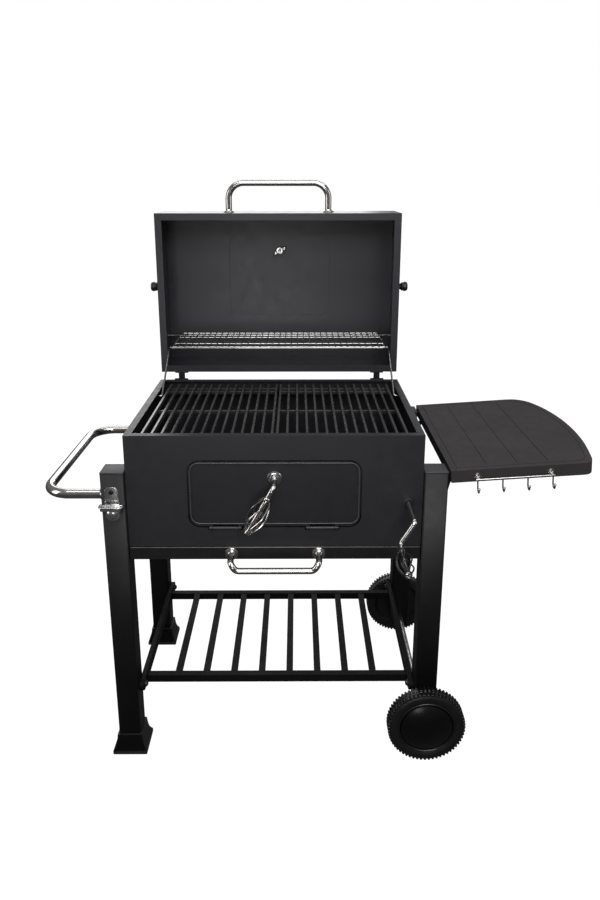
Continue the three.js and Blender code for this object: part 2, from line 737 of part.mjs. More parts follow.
// ---- fold-down side table ----
function tableOutline(inset) {
  const s = new THREE.Shape();
  const x0 = TABLE.x0 + inset;
  const x1 = TABLE.x1 - inset * 0.7;
  const y0 = TABLE.y0 + inset;
  const y1 = TABLE.y1 - inset;
  const tip = TABLE.x1 + TABLE.bulge - inset;
  const mid = (y0 + y1) / 2;
  s.moveTo(x0, y0);
  s.lineTo(x1 - 12, y0);
  s.quadraticCurveTo(x1 + 9, y0, x1 + 15, y0 + 30);
  s.bezierCurveTo(x1 + 26, y0 + 80, tip, mid - 90, tip, mid);
  s.bezierCurveTo(tip, mid + 70, x1 + 29, y1 - 86, x1 + 6, y1 - 36);
  s.quadraticCurveTo(x1 - 12, y1, x1 - 48, y1);
  s.lineTo(x0, y1);
  s.closePath();
  return s;
}

function sloped(part) {
  return turnedY(part, -TABLE.slope, TABLE.x0, TABLE.top);
}

function tableTop() {
  const low = TABLE.top - TABLE.thick;
  const wall = 2.5;
  const outer = slab(tableOutline(0), TABLE.thick, 8).translate([0, 0, low]);
  const hollow = slab(tableOutline(wall), TABLE.thick - wall + 1, 8).translate([0, 0, low - 1]);
  const field = slab(tableOutline(14), 1.2, 8).translate([0, 0, TABLE.top - 1.2]);
  const fieldTop = slab(tableOutline(16), 1.2, 8).translate([0, 0, TABLE.top - 1.2]);
  let part = outer.subtract(hollow).subtract(field.subtract(fieldTop));
  for (let i = 1; i <= 3; i += 1) {
    const x = TABLE.x0 + 14 + i * TABLE_PLANK;
    part = part.subtract(box(x - 1.2, x + 1.2, TABLE.y0 + 24, TABLE.y1 - 24, TABLE.top - 1.2, TABLE.top + 1));
  }
  for (const y of TABLE_LUGS) {
    const lug = box(TABLE_PIVOT.x - 7, TABLE_PIVOT.x + 7, y - 1.5, y + 1.5, TABLE_PIVOT.z - 6, TABLE.top - 1);
    part = part.add(lug);
  }
  part = sloped(part);
  for (const y of TABLE_LUGS) {
    part = part.subtract(
      rod([TABLE_PIVOT.x, y - 3, TABLE_PIVOT.z], [TABLE_PIVOT.x, y + 3, TABLE_PIVOT.z], 3.2, 14),
    );
  }
  return part;
}

function tableBracket(side) {
  const x = LEG_X + LEG / 2;
  const y = side * 188;
  const pin = side * 1;
  const s = new THREE.Shape();
  s.moveTo(x + 0.05, 630);
  s.lineTo(x + 3, 630);
  s.lineTo(x + 12, 668);
  s.lineTo(TABLE_PIVOT.x + 6, TABLE_PIVOT.z - 4);
  s.lineTo(TABLE_PIVOT.x + 5, TABLE_PIVOT.z + 4);
  s.lineTo(TABLE_PIVOT.x - 3.5, TABLE_PIVOT.z + 4);
  s.lineTo(x + 8, 682);
  s.lineTo(x + 4, 676);
  s.lineTo(x + 0.05, 676);
  s.closePath();
  const ear = upright(s, y - 1.5, y + 1.5);
  const plate = box(x + 0.05, x + 3, Math.min(y, y - pin * 4) - 10, Math.max(y, y + pin * 24), 630, 676);
  const pinRod = rod([TABLE_PIVOT.x, y, TABLE_PIVOT.z], [TABLE_PIVOT.x, y + pin * 12, TABLE_PIVOT.z], 3, 14);
  return union([ear, plate, pinRod]);
}

function hookRail() {
  const y = TABLE.y0 - 0.05;
  const x0 = 425;
  const x1 = 592;
  const z = TABLE.top - 20;
  const list = [rod([x0, y - 7, z], [x1, y - 7, z], 2, 10)];
  for (const x of [x0 + 6, x1 - 6]) {
    list.push(rod([x, y, z + 6], [x, y - 3, z + 6], 6, 14));
    list.push(box(x - 3, x + 3, y - 8, y - 1, z - 1.5, z + 7));
  }
  for (let i = 0; i < 4; i += 1) {
    const x = x0 + 4 + (i * (x1 - x0 - 8)) / 3;
    list.push(bent(
      [[x, y - 7, z + 1], [x, y - 7, z - 22], [x, y - 17, z - 27], [x, y - 19, z - 18]], 1.7, 3, 6, 3,
    ));
  }
  return sloped(union(list));
}

// ---- the pieces ----
add("firebox_shell", fireboxShell(), PAINT);
add("grate_ledge_front", grateLedge(-1), DARK);
add("grate_ledge_rear", grateLedge(1), DARK);
add("grate_left", grate(-289, -3), ENAMEL);
add("grate_right", grate(3, 289), ENAMEL);
add("charcoal_tray", charcoalTray(), DARK);
add("ash_drawer", ashDrawer(), PAINT);
add("drawer_runner_left", drawerRunner(-1), DARK);
add("drawer_runner_right", drawerRunner(1), DARK);
add("drawer_handle", drawerHandle(), CHROME);
add("door_panel", door(), PAINT);
DOOR_HINGES.forEach((x, i) => add(i === 0 ? "door_hinge_left" : "door_hinge_right", doorHinge(x), DARK));
add("latch_escutcheon", escutcheon(), CHROME);
add("latch_arm", latchArm(), CHROME);
add("latch_grip", latchGrip(), CHROME);
add("latch_tongue", latchTongue(), STEEL);
add("crank_bushing", crankBushing(), PLASTIC);
add("crank_shaft", crankShaft(), CHROME);
add("crank_grip", crankGrip(), DARK);
add("lid_shell", lidShell(), PAINT);
add("lid_handle", lidHandle(), CHROME);
add("thermometer", thermometer(), STEEL);
add("thermometer_nut", thermometerNut(), STEEL);
add("warming_rack", warmingRack(), CHROME);
for (const [side, label] of [[-1, "left"], [1, "right"]]) {
  add(`vent_disc_${label}`, ventDisc(side), PLASTIC);
  add(`lid_hinge_lower_${label}`, hingeLower(side * HINGE_X), DARK);
  add(`lid_hinge_upper_${label}`, hingeUpper(side * HINGE_X), DARK);
  add(`rack_leg_${label}`, rackLeg(side), CHROME);
  add(`shelf_rail_${label}`, shelfRail(side), DARK);
}
for (const [xs, across] of [[-1, "left"], [1, "right"]]) {
  for (const [ys, along] of [[-1, "front"], [1, "rear"]]) {
    add(`leg_${across}_${along}`, leg(xs, ys), PAINT);
    add(`leg_cap_${across}_${along}`, legCap(xs, ys), PLASTIC);
  }
}
add("shelf_grid", shelfGrid(), DARK);
add("axle", axle(), STEEL);
for (const [side, along] of [[-1, "front"], [1, "rear"]]) {
  add(`foot_${along}`, foot(side), PLASTIC);
  add(`tyre_${along}`, tyre(side), PLASTIC);
  add(`wheel_disc_${along}`, wheelDisc(side), PLASTIC);
  add(`hub_cap_${along}`, hubCap(side), PLASTIC);
  add(`table_bracket_${along}`, tableBracket(side), DARK);
}
add("side_handle", sideHandle(), CHROME);
add("bottle_opener", bottleOpener(), STEEL);
add("table_top", tableTop(), TABLE_GREY);
add("hook_rail", hookRail(), CHROME);

// the origin goes on the floor under the middle of the object's outline
const middle = new THREE.Box3().setFromObject(object).getCenter(new THREE.Vector3());
for (const piece of object.children) {
  piece.geometry.translate(-middle.x, -middle.y, 0);
}

export default object;
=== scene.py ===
import math

import bmesh
import bpy
from mathutils import Matrix, Vector


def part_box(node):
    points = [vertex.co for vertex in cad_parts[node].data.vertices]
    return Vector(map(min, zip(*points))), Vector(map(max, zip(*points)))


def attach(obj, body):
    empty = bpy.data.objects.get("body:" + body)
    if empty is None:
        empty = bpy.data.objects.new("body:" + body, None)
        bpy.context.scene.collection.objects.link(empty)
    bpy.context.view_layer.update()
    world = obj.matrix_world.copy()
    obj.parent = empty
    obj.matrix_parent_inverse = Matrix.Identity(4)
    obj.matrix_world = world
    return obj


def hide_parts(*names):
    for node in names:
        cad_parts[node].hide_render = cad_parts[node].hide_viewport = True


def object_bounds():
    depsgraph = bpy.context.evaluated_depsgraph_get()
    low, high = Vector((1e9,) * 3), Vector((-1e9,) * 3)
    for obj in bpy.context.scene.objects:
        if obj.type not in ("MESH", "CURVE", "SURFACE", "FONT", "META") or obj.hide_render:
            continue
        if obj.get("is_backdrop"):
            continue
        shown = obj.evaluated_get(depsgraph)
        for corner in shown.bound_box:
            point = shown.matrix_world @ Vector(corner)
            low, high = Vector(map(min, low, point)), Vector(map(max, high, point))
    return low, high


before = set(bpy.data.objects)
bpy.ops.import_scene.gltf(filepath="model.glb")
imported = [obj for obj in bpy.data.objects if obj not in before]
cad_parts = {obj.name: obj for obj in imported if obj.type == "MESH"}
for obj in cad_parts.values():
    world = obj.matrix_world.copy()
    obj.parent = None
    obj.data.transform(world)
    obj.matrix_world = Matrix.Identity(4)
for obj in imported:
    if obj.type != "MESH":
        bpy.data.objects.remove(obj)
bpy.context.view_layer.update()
scene = bpy.context.scene


# ---- The view ----
# A camera at standing height in front of the grill, tipped down at the grates, with a lens
# that takes in the open lid and the wheels. It stands off the middle of the firebox.
box_low, box_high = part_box("firebox_shell")
HOME = Vector(((box_low.x + box_high.x) / 2, (box_low.y + box_high.y) / 2, 0.0))
view = bpy.data.cameras.new("view")
view.sensor_width = 36.0
view.lens = 28.02
view.shift_y = -0.0924
view_point = bpy.data.objects.new("view", view)
view_point.location = HOME + Vector((0.0485, -1.6082, 1.3068))
view_point.rotation_euler = (math.radians(75.217), 0.0, math.radians(-0.254))
scene.collection.objects.link(view_point)
scene.camera = view_point


# ---- The floor ----
# A plain white studio floor, wide enough to reach the horizon from every side. It throws no light
# back, so that undersides and polished bars stay dark.
floor_paint = bpy.data.materials.new("floor_paint")
floor_paint.use_nodes = True
floor_shader = floor_paint.node_tree.nodes["Principled BSDF"]
floor_shader.inputs["Base Color"].default_value = (0.1, 0.1, 0.1, 1.0)
floor_shader.inputs["Roughness"].default_value = 0.9
floor_shader.inputs["Specular IOR Level"].default_value = 0.0
floor_shader.inputs["Emission Color"].default_value = (1.0, 1.0, 1.0, 1.0)
floor_shader.inputs["Emission Strength"].default_value = 1.0
floor_mesh = bpy.data.meshes.new("studio_floor")
floor_shape = bmesh.new()
bmesh.ops.create_circle(floor_shape, cap_ends=True, radius=40.0, segments=96)
floor_shape.to_mesh(floor_mesh)
floor_shape.free()
floor_mesh.materials.append(floor_paint)
studio_floor = bpy.data.objects.new("studio_floor", floor_mesh)
studio_floor.location = (0.0, 0.0, -0.0005)
studio_floor.visible_diffuse = False
studio_floor.visible_glossy = False
scene.collection.objects.link(studio_floor)
studio_floor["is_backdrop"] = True


# ---- The light ----
# Soft boxes: two long strips overhead, one box above the viewer, a low one that fills the open lid,
# one at each side and one behind. The room is white to look at, but sheds a dim light that fades
# from the ceiling to the ground, so that polished bars keep dark edges.
def soft_box(name, place, target, width, height, watts):
    lamp = bpy.data.lights.new(name, "AREA")
    lamp.shape = "RECTANGLE"
    lamp.size = width
    lamp.size_y = height
    lamp.energy = watts
    box = bpy.data.objects.new(name, lamp)
    box.location = place
    box.rotation_euler = (Vector(target) - Vector(place)).to_track_quat("-Z", "Y").to_euler()
    scene.collection.objects.link(box)


soft_box("overhead_strip_front", (0.0, -1.1, 3.0), (0.0, 0.0, 0.7), 3.2, 0.45, 26.0)
soft_box("overhead_strip_rear", (0.0, 1.0, 3.0), (0.0, 0.0, 0.7), 3.2, 0.45, 20.0)
soft_box("lid_box", (-0.3, -2.7, 0.6), (0.0, 0.3, 1.0), 0.7, 0.5, 6.0)
soft_box("front_box", (0.25, -2.5, 2.5), (0.0, 0.1, 0.85), 2.0, 1.2, 50.0)
soft_box("left_box", (-2.5, -0.9, 1.3), (0.0, 0.0, 0.7), 0.9, 2.0, 18.0)
soft_box("right_box", (2.6, -0.7, 1.5), (0.1, 0.0, 0.7), 0.8, 1.9, 12.0)
soft_box("rear_box", (-0.6, 2.8, 1.9), (0.0, 0.1, 0.8), 2.2, 1.4, 25.0)

room = bpy.data.worlds.new("white_room")
scene.world = room
room.use_nodes = True
room_nodes = room.node_tree.nodes
room_links = room.node_tree.links
room_nodes.clear()
seen = room_nodes.new("ShaderNodeBackground")
seen.inputs["Color"].default_value = (1.0, 1.0, 1.0, 1.0)
seen.inputs["Strength"].default_value = 1.0
shed = room_nodes.new("ShaderNodeBackground")
shed.inputs["Color"].default_value = (0.95, 0.96, 1.0, 1.0)
way = room_nodes.new("ShaderNodeTexCoord")
split = room_nodes.new("ShaderNodeSeparateXYZ")
fade = room_nodes.new("ShaderNodeMapRange")
fade.inputs["From Min"].default_value = -0.3
fade.inputs["From Max"].default_value = 0.9
fade.inputs["To Min"].default_value = 0.08
fade.inputs["To Max"].default_value = 0.34
room_links.new(way.outputs["Generated"], split.inputs["Vector"])
room_links.new(split.outputs["Z"], fade.inputs["Value"])
room_links.new(fade.outputs["Result"], shed.inputs["Strength"])
ray = room_nodes.new("ShaderNodeLightPath")
either = room_nodes.new("ShaderNodeMixShader")
room_out = room_nodes.new("ShaderNodeOutputWorld")
room_links.new(ray.outputs["Is Camera Ray"], either.inputs[0])
room_links.new(shed.outputs[0], either.inputs[1])
room_links.new(seen.outputs[0], either.inputs[2])
room_links.new(either.outputs[0], room_out.inputs["Surface"])
scene.view_settings.view_transform = "Standard"


# ---- Firebox ----
# Four walls of 2 mm sheet with a rim folded inwards, a door opening in the front and pockets for
# its hinges. The paint is baked powder coat: satin, with a faint orange-peel skin.
BOX_FRONT = -217.5
BOX_SIDE = 320.0


def coat(name, tone, gloss, drift, peel, peel_size, metal=0.0, specular=0.5):
    """A finish with a slow drift of tone, a gloss that wanders and a fine skin.

    tone is the colour, gloss the two ends of its roughness, drift how far the tone wanders,
    peel the depth of the skin in millimetres and peel_size the width of its grain."""
    look = bpy.data.materials.new(name)
    look.use_nodes = True
    nodes = look.node_tree.nodes
    links = look.node_tree.links
    shader = nodes["Principled BSDF"]
    shader.inputs["Metallic"].default_value = metal
    shader.inputs["Specular IOR Level"].default_value = specular
    place = nodes.new("ShaderNodeTexCoord")
    slow = nodes.new("ShaderNodeTexNoise")
    slow.inputs["Scale"].default_value = 9.0
    slow.inputs["Detail"].default_value = 5.0
    links.new(place.outputs["Object"], slow.inputs["Vector"])
    shade = nodes.new("ShaderNodeMapRange")
    shade.inputs["From Min"].default_value = 0.3
    shade.inputs["From Max"].default_value = 0.7
    links.new(slow.outputs["Fac"], shade.inputs["Value"])
    blend = nodes.new("ShaderNodeMix")
    blend.data_type = "RGBA"
    blend.inputs["A"].default_value = tuple(c * (1 - drift) for c in tone) + (1.0,)
    blend.inputs["B"].default_value = tuple(min(c * (1 + drift), 1.0) for c in tone) + (1.0,)
    links.new(shade.outputs["Result"], blend.inputs["Factor"])
    speck = nodes.new("ShaderNodeTexNoise")
    speck.inputs["Scale"].default_value = 1400.0
    speck.inputs["Detail"].default_value = 1.0
    links.new(place.outputs["Object"], speck.inputs["Vector"])
    fleck = nodes.new("ShaderNodeMapRange")
    fleck.inputs["From Min"].default_value = 0.35
    fleck.inputs["From Max"].default_value = 0.65
    fleck.inputs["To Min"].default_value = 1.0 - drift * 0.7
    fleck.inputs["To Max"].default_value = 1.0 + drift * 0.7
    links.new(speck.outputs["Fac"], fleck.inputs["Value"])
    tint = nodes.new("ShaderNodeVectorMath")
    tint.operation = "SCALE"
    links.new(blend.outputs["Result"], tint.inputs[0])
    links.new(fleck.outputs["Result"], tint.inputs["Scale"])
    links.new(tint.outputs["Vector"], shader.inputs["Base Color"])
    rub = nodes.new("ShaderNodeTexNoise")
    rub.inputs["Scale"].default_value = 38.0
    rub.inputs["Detail"].default_value = 6.0
    rub.inputs["Roughness"].default_value = 0.65
    links.new(place.outputs["Object"], rub.inputs["Vector"])
    wander = nodes.new("ShaderNodeMapRange")
    wander.inputs["From Min"].default_value = 0.3
    wander.inputs["From Max"].default_value = 0.7
    wander.inputs["To Min"].default_value = gloss[0]
    wander.inputs["To Max"].default_value = gloss[1]
    links.new(rub.outputs["Fac"], wander.inputs["Value"])
    links.new(wander.outputs["Result"], shader.inputs["Roughness"])
    skin = nodes.new("ShaderNodeTexNoise")
    skin.inputs["Scale"].default_value = 1000.0 / peel_size
    skin.inputs["Detail"].default_value = 2.0
    links.new(place.outputs["Object"], skin.inputs["Vector"])
    bump = nodes.new("ShaderNodeBump")
    bump.inputs["Strength"].default_value = 1.0
    bump.inputs["Distance"].default_value = peel / 1000.0
    links.new(skin.outputs["Fac"], bump.inputs["Height"])
    links.new(bump.outputs["Normal"], shader.inputs["Normal"])
    return look


def eased(node, look, edge, sides=2, sharp=35.0):
    """A cut and folded piece of the frame: its sharp edges are eased and it gets its finish."""
    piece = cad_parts[node]
    for face in piece.material_slots:
        face.material = look
    piece.data.shade_smooth()
    weld = piece.modifiers.new("weld", "WELD")
    weld.merge_threshold = 0.000005
    flat = piece.modifiers.new("flat", "DECIMATE")
    flat.decimate_type = "DISSOLVE"
    flat.angle_limit = math.radians(0.4)
    ease = piece.modifiers.new("ease", "BEVEL")
    ease.width = edge / 1000.0
    ease.segments = sides
    ease.limit_method = "ANGLE"
    ease.angle_limit = math.radians(sharp)
    ease.loop_slide = False
    ease.use_clamp_overlap = True
    level = piece.modifiers.new("level", "WEIGHTED_NORMAL")
    level.weight = 100
    level.keep_sharp = False
    return piece


box_paint = coat("box_paint", (0.0140, 0.0133, 0.0163), (0.38, 0.50), 0.10, 0.020, 1.1)
eased("firebox_shell", box_paint, 0.9)

# Painted shade: this steel is near-black so the gaps between the grate bars read as the shade down in the
# firebox; its wandering tone stands for soot.
soot_and_shade_steel = coat("soot_and_shade_steel", (0.006, 0.0057, 0.0055), (0.55, 0.78), 0.35, 0.06, 3.0, specular=0.3)
for ledge in ("grate_ledge_front", "grate_ledge_rear"):
    eased(ledge, soot_and_shade_steel, 0.5)
eased("charcoal_tray", soot_and_shade_steel, 0.5)


# ---- Cooking grates ----
# Two halves, each of fourteen flat bars over four cross bars, dipped in black porcelain enamel
# that is thick and glossy on the bars and thins a little at their edges.
enamel = coat("enamel", (0.032, 0.0325, 0.033), (0.16, 0.32), 0.25, 0.05, 2.2, specular=0.6)
for grate in ("grate_left", "grate_right"):
    eased(grate, enamel, 1.6, sides=3)


# ---- Push handle ----
# A 22 mm chromed steel tube bent twice, its ends let into the two left legs, with a pressed
# collar round each end.
def rounded_line(corners, bend, steps=10):
    """The centre line through the corners, each corner turned with the bend radius."""
    corners = [Vector(c) for c in corners]
    line = [corners[0]]
    for before, corner, after in zip(corners, corners[1:], corners[2:]):
        back = (before - corner).normalized()
        on = (after - corner).normalized()
        half = back.angle(on) / 2
        middle = corner + (back + on).normalized() * (bend / math.sin(half))
        start = corner + back * (bend / math.tan(half)) - middle
        end = corner + on * (bend / math.tan(half)) - middle
        turn = math.pi - 2 * half
        axis = start.cross(end)
        for i in range(steps + 1):
            line.append(middle + Matrix.Rotation(turn * i / steps, 3, axis) @ start)
    line.append(corners[-1])
    return line


def bar(bm, line, radius, sides=20):
    """Draws a round bar along a centre line, one ring for each of its points."""
    line = [Vector(p) for p in line]
    way = (line[1] - line[0]).normalized()
    seat = Matrix.Translation(line[0]) @ way.to_track_quat("Z", "Y").to_matrix().to_4x4()
    made_ring = bmesh.ops.create_circle(bm, cap_ends=True, radius=radius, segments=sides, matrix=seat)
    ring = list({e for v in made_ring["verts"] for e in v.link_edges})
    for i in range(1, len(line)):
        step = bmesh.ops.extrude_edge_only(bm, edges=ring)["geom"]
        corners = [g for g in step if isinstance(g, bmesh.types.BMVert)]
        fresh = set(corners)
        ring = [g for g in step if isinstance(g, bmesh.types.BMEdge) and set(g.verts) <= fresh]
        bmesh.ops.translate(bm, vec=line[i] - line[i - 1], verts=corners)
        ahead = line[min(i + 1, len(line) - 1)] - line[i - 1]
        if i == len(line) - 1:
            ahead = line[i] - line[i - 1]
        ahead.normalize()
        swing = way.rotation_difference(ahead).to_matrix()
        bmesh.ops.rotate(bm, cent=line[i], matrix=swing, verts=corners)
        way = ahead
    bmesh.ops.contextual_create(bm, geom=ring)


def aim(place, along):
    """The placing that stands a turned part on a point, with its axis along a direction."""
    return Matrix.Translation(place) @ Vector(along).to_track_quat("Z", "Y").to_matrix().to_4x4()


def turned(bm, profile, place, sides=40):
    """Spins a profile of (radius, height) pairs, and puts the turned part in its place."""
    old = set(bm.verts)
    corners = [bm.verts.new((r, 0.0, h)) for r, h in profile]
    edges = [bm.edges.new(pair) for pair in zip(corners, corners[1:])]
    bmesh.ops.spin(bm, geom=corners + edges, cent=(0, 0, 0), axis=(0, 0, 1),
                   angle=math.tau, steps=sides, use_merge=True)
    fresh = [v for v in bm.verts if v not in old]
    bmesh.ops.remove_doubles(bm, verts=fresh, dist=0.001)
    fresh = [v for v in bm.verts if v not in old]
    bmesh.ops.transform(bm, matrix=place, verts=fresh)


def made(name, bm, look, slot, body, *stands_for, sharp=32.0):
    """A finished piece from a shape drawn in millimetres from the floor under the firebox."""
    bmesh.ops.recalc_face_normals(bm, faces=bm.faces)
    bmesh.ops.transform(bm, matrix=Matrix.Translation(HOME) @ Matrix.Scale(0.001, 4), verts=bm.verts)
    mesh = bpy.data.meshes.new(name)
    bm.to_mesh(mesh)
    bm.free()
    mesh.shade_smooth()
    mesh.set_sharp_from_angle(angle=math.radians(sharp))
    mesh.materials.append(look)
    piece = bpy.data.objects.new(name, mesh)
    scene.collection.objects.link(piece)
    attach(piece, body)
    if stands_for:
        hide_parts(*stands_for)
    return piece


chrome = coat("chrome", (0.50, 0.48, 0.46), (0.10, 0.20), 0.04, 0.0008, 6.0, metal=1.0)
LEG_FACE = -372.0
HANDLE_Z = 652.0
HANDLE_HALF = 204
HANDLE_REACH = -503
shape = bmesh.new()
bar(shape, rounded_line([(LEG_FACE - 0.3, -HANDLE_HALF, HANDLE_Z), (HANDLE_REACH, -HANDLE_HALF, HANDLE_Z),
                         (HANDLE_REACH, HANDLE_HALF, HANDLE_Z), (LEG_FACE - 0.3, HANDLE_HALF, HANDLE_Z)],
                        56.0, 16), 11.0, 32)
for y in (-HANDLE_HALF, HANDLE_HALF):
    turned(shape, [(0, 0), (13.5, 0), (14.2, 0.8), (14.0, 2.2), (12.4, 4.4), (11.5, 5.0), (11.2, 6.5),
                   (0, 6.5)],
           aim((LEG_FACE - 0.1, y, HANDLE_Z), (-1, 0, 0)))
made("side_handle_tube", shape, chrome, "chrome", "stand", "side_handle")


# ---- Legs ----
# Four 51 mm square tubes, drawn with rounded corners, in a blacker coat than the firebox. The
# left pair stands in moulded shoes and the right pair stops above the axle.
leg_paint = coat("leg_paint", (0.0050, 0.0044, 0.0052), (0.44, 0.56), 0.12, 0.02, 1.1, specular=0.3)
CORNER = 4.0
for across in ("left", "right"):
    for along in ("front", "rear"):
        node = f"leg_{across}_{along}"
        low, high = (1000 * (c - HOME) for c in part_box(node))
        shape = bmesh.new()
        size = Matrix.Diagonal((high.x - low.x, high.y - low.y, high.z - low.z, 1))
        bmesh.ops.create_cube(shape, size=1.0, matrix=Matrix.Translation((low + high) / 2) @ size)
        ends = [f for f in shape.faces if abs(f.normal.z) > 0.5]
        bmesh.ops.delete(shape, geom=ends, context="FACES_ONLY")
        upright = [e for e in shape.edges if abs((e.verts[0].co - e.verts[1].co).z) > 1]
        bmesh.ops.bevel(shape, geom=upright, offset=CORNER, segments=5, profile=0.5,
                        affect="EDGES", material=-1)
        bmesh.ops.recalc_face_normals(shape, faces=shape.faces)
        leg = made(f"{node}_tube", shape, leg_paint, "body_paint", "stand", node)
        wall = leg.modifiers.new("wall", "SOLIDIFY")
        wall.thickness = 0.0018
        wall.offset = -1.0


# ---- Leg caps ----
# Push-in caps of black plastic that close the tops of the legs, with a soft edge and a low crown.
def block(bm, x0, x1, y0, y1, z0, z1, edge=0.0, sides=3):
    """A rectangular block with eased edges."""
    old = set(bm.verts)
    size = Matrix.Diagonal((x1 - x0, y1 - y0, z1 - z0, 1))
    middle = Vector(((x0 + x1) / 2, (y0 + y1) / 2, (z0 + z1) / 2))
    bmesh.ops.create_cube(bm, size=1.0, matrix=Matrix.Translation(middle) @ size)
    if edge:
        fresh = [e for e in bm.edges if e.verts[0] not in old]
        bmesh.ops.bevel(bm, geom=fresh, offset=edge, segments=sides, profile=0.5,
                        affect="EDGES", material=-1)
    return [v for v in bm.verts if v not in old]


cap_plastic = coat("cap_plastic", (0.023, 0.0225, 0.025), (0.42, 0.55), 0.08, 0.03, 0.8)
for across in ("left", "right"):
    for along in ("front", "rear"):
        node = f"leg_cap_{across}_{along}"
        low, high = (1000 * (c - HOME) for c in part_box(node))
        shape = bmesh.new()
        block(shape, low.x, high.x, low.y, high.y, high.z - 2.9, high.z, 1.3)
        block(shape, low.x + 3.0, high.x - 3.0, low.y + 3.0, high.y - 3.0, low.z, high.z - 2.0, 0.5, 1)
        made(f"{node}_plug", shape, cap_plastic, "black_plastic", "stand", node)


# ---- Shoes ----
# Moulded black shoes on the left legs: a flat sole, a flared skirt and a collar round the tube.
shoe_plastic = coat("shoe_plastic", (0.0095, 0.009, 0.0098), (0.42, 0.56), 0.1, 0.05, 0.9)
for along in ("front", "rear"):
    node = f"foot_{along}"
    low, high = (1000 * (c - HOME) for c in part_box(node))
    middle = (low + high) / 2
    shape = bmesh.new()
    ground = Matrix.Translation((middle.x, middle.y, low.z)) @ Matrix.Diagonal((80, 76, 1, 1))
    sole = bmesh.ops.create_grid(shape, x_segments=1, y_segments=1, size=0.5, matrix=ground)
    top = list({f for v in sole["verts"] for f in v.link_faces})
    was = Vector((80, 76, 0))
    for wide, deep, z in ((80, 76, 7), (77.5, 73.6, 9), (70, 67.6, 15), (65.5, 64, 21), (62, 61.4, 29),
                          (59.6, 59.6, 39), (58.4, 58.4, 46.4), (57.4, 57.4, 47.6)):
        step = bmesh.ops.extrude_face_region(shape, geom=top)["geom"]
        corners = [g for g in step if isinstance(g, bmesh.types.BMVert)]
        top = [g for g in step if isinstance(g, bmesh.types.BMFace)]
        bmesh.ops.translate(shape, vec=(0, 0, low.z + z - corners[0].co.z), verts=corners)
        bmesh.ops.scale(shape, vec=(wide / was.x, deep / was.y, 1), verts=corners,
                        space=Matrix.Translation((-middle.x, -middle.y, 0)))
        was = Vector((wide, deep, 0))
    rising = [e for e in shape.edges if abs((e.verts[0].co - e.verts[1].co).z) > 0.5]
    bmesh.ops.bevel(shape, geom=rising, offset=2.2, segments=3, profile=0.5, affect="EDGES", material=-1)
    made(f"{node}_shoe", shape, shoe_plastic, "black_plastic", "stand", node, sharp=26.0)


# ---- Lower shelf ----
# Two flat side rails bolted to the legs, and a welded grid of eight slats between two cross rails.
# Black bolts with washers hold the rails' ends.
shelf_paint = coat("shelf_paint", (0.0045, 0.004, 0.005), (0.5, 0.64), 0.12, 0.02, 1.1, specular=0.1)
for node in ("shelf_rail_left", "shelf_rail_right", "shelf_grid"):
    eased(node, shelf_paint, 1.4, sides=3)
black_zinc = coat("black_zinc", (0.035, 0.034, 0.036), (0.28, 0.42), 0.15, 0.01, 1.5, metal=0.7)
LEG_Y = 202.5
RAIL_Z = 166.0
RAIL_INNER = 320.7 - 12.2
for side, label in ((-1, "left"), (1, "right")):
    for y, along in ((-LEG_Y, "front"), (LEG_Y, "rear")):
        shape = bmesh.new()
        turned(shape, [(0, 0), (9.0, 0), (9.4, 0.5), (9.2, 1.3), (8.6, 1.6), (0, 1.6)],
               aim((side * RAIL_INNER, y, RAIL_Z), (-side, 0, 0)), 32)
        turned(shape, [(0, 1.5), (6.2, 1.5), (6.2, 3.6), (5.4, 5.0), (3.4, 6.0), (0, 6.3)],
               aim((side * RAIL_INNER, y, RAIL_Z), (-side, 0, 0)), 24)
        made(f"shelf_bolt_{label}_{along}", shape, black_zinc, "dark_paint", "stand")


# ---- Ash drawer ----
# A shallow folded tray under the firebox on two runners. Along the top of its front runs a thin strip
# of bright bare steel: a painted highlight for the light caught by the front's top edge.
drawer_paint = coat("drawer_paint", (0.004, 0.003, 0.003), (0.38, 0.5), 0.1, 0.02, 1.1)
eased("ash_drawer", drawer_paint, 0.5)
for runner in ("drawer_runner_left", "drawer_runner_right"):
    eased(runner, soot_and_shade_steel, 0.4)
# Painted highlight: a bright steel strip where the drawer front's top edge catches the light.
highlight_edge_steel = coat("highlight_edge_steel", (0.50, 0.47, 0.44), (0.25, 0.45), 0.3, 0.01, 2.0, metal=0.9)
shape = bmesh.new()
block(shape, -318.5, 318.5, BOX_FRONT - 2.7, BOX_FRONT - 1.9, 529.3, 530.9, 0.25, 2)
made("drawer_lip", shape, highlight_edge_steel, "bright_steel", "drawer")

PULL_HALF, PULL_Z = 96, 515
shape = bmesh.new()
bar(shape, rounded_line([(-PULL_HALF, -220, PULL_Z), (-PULL_HALF, -262, 514), (-84, -262, 497),
                         (84, -262, 497), (PULL_HALF, -262, 514), (PULL_HALF, -220, PULL_Z)],
                        13.2, 10), 6.9, 24)
for x in (-PULL_HALF, PULL_HALF):
    turned(shape, [(0, 0), (14.5, 0), (14.9, 0.8), (14.2, 2.3), (11.2, 4.2), (8.4, 5.2), (7.2, 6.6),
                   (0, 6.8)], aim((x, BOX_FRONT - 2.1, PULL_Z), (0, -1, 0)))
made("drawer_handle_tube", shape, chrome, "chrome", "drawer", "drawer_handle")
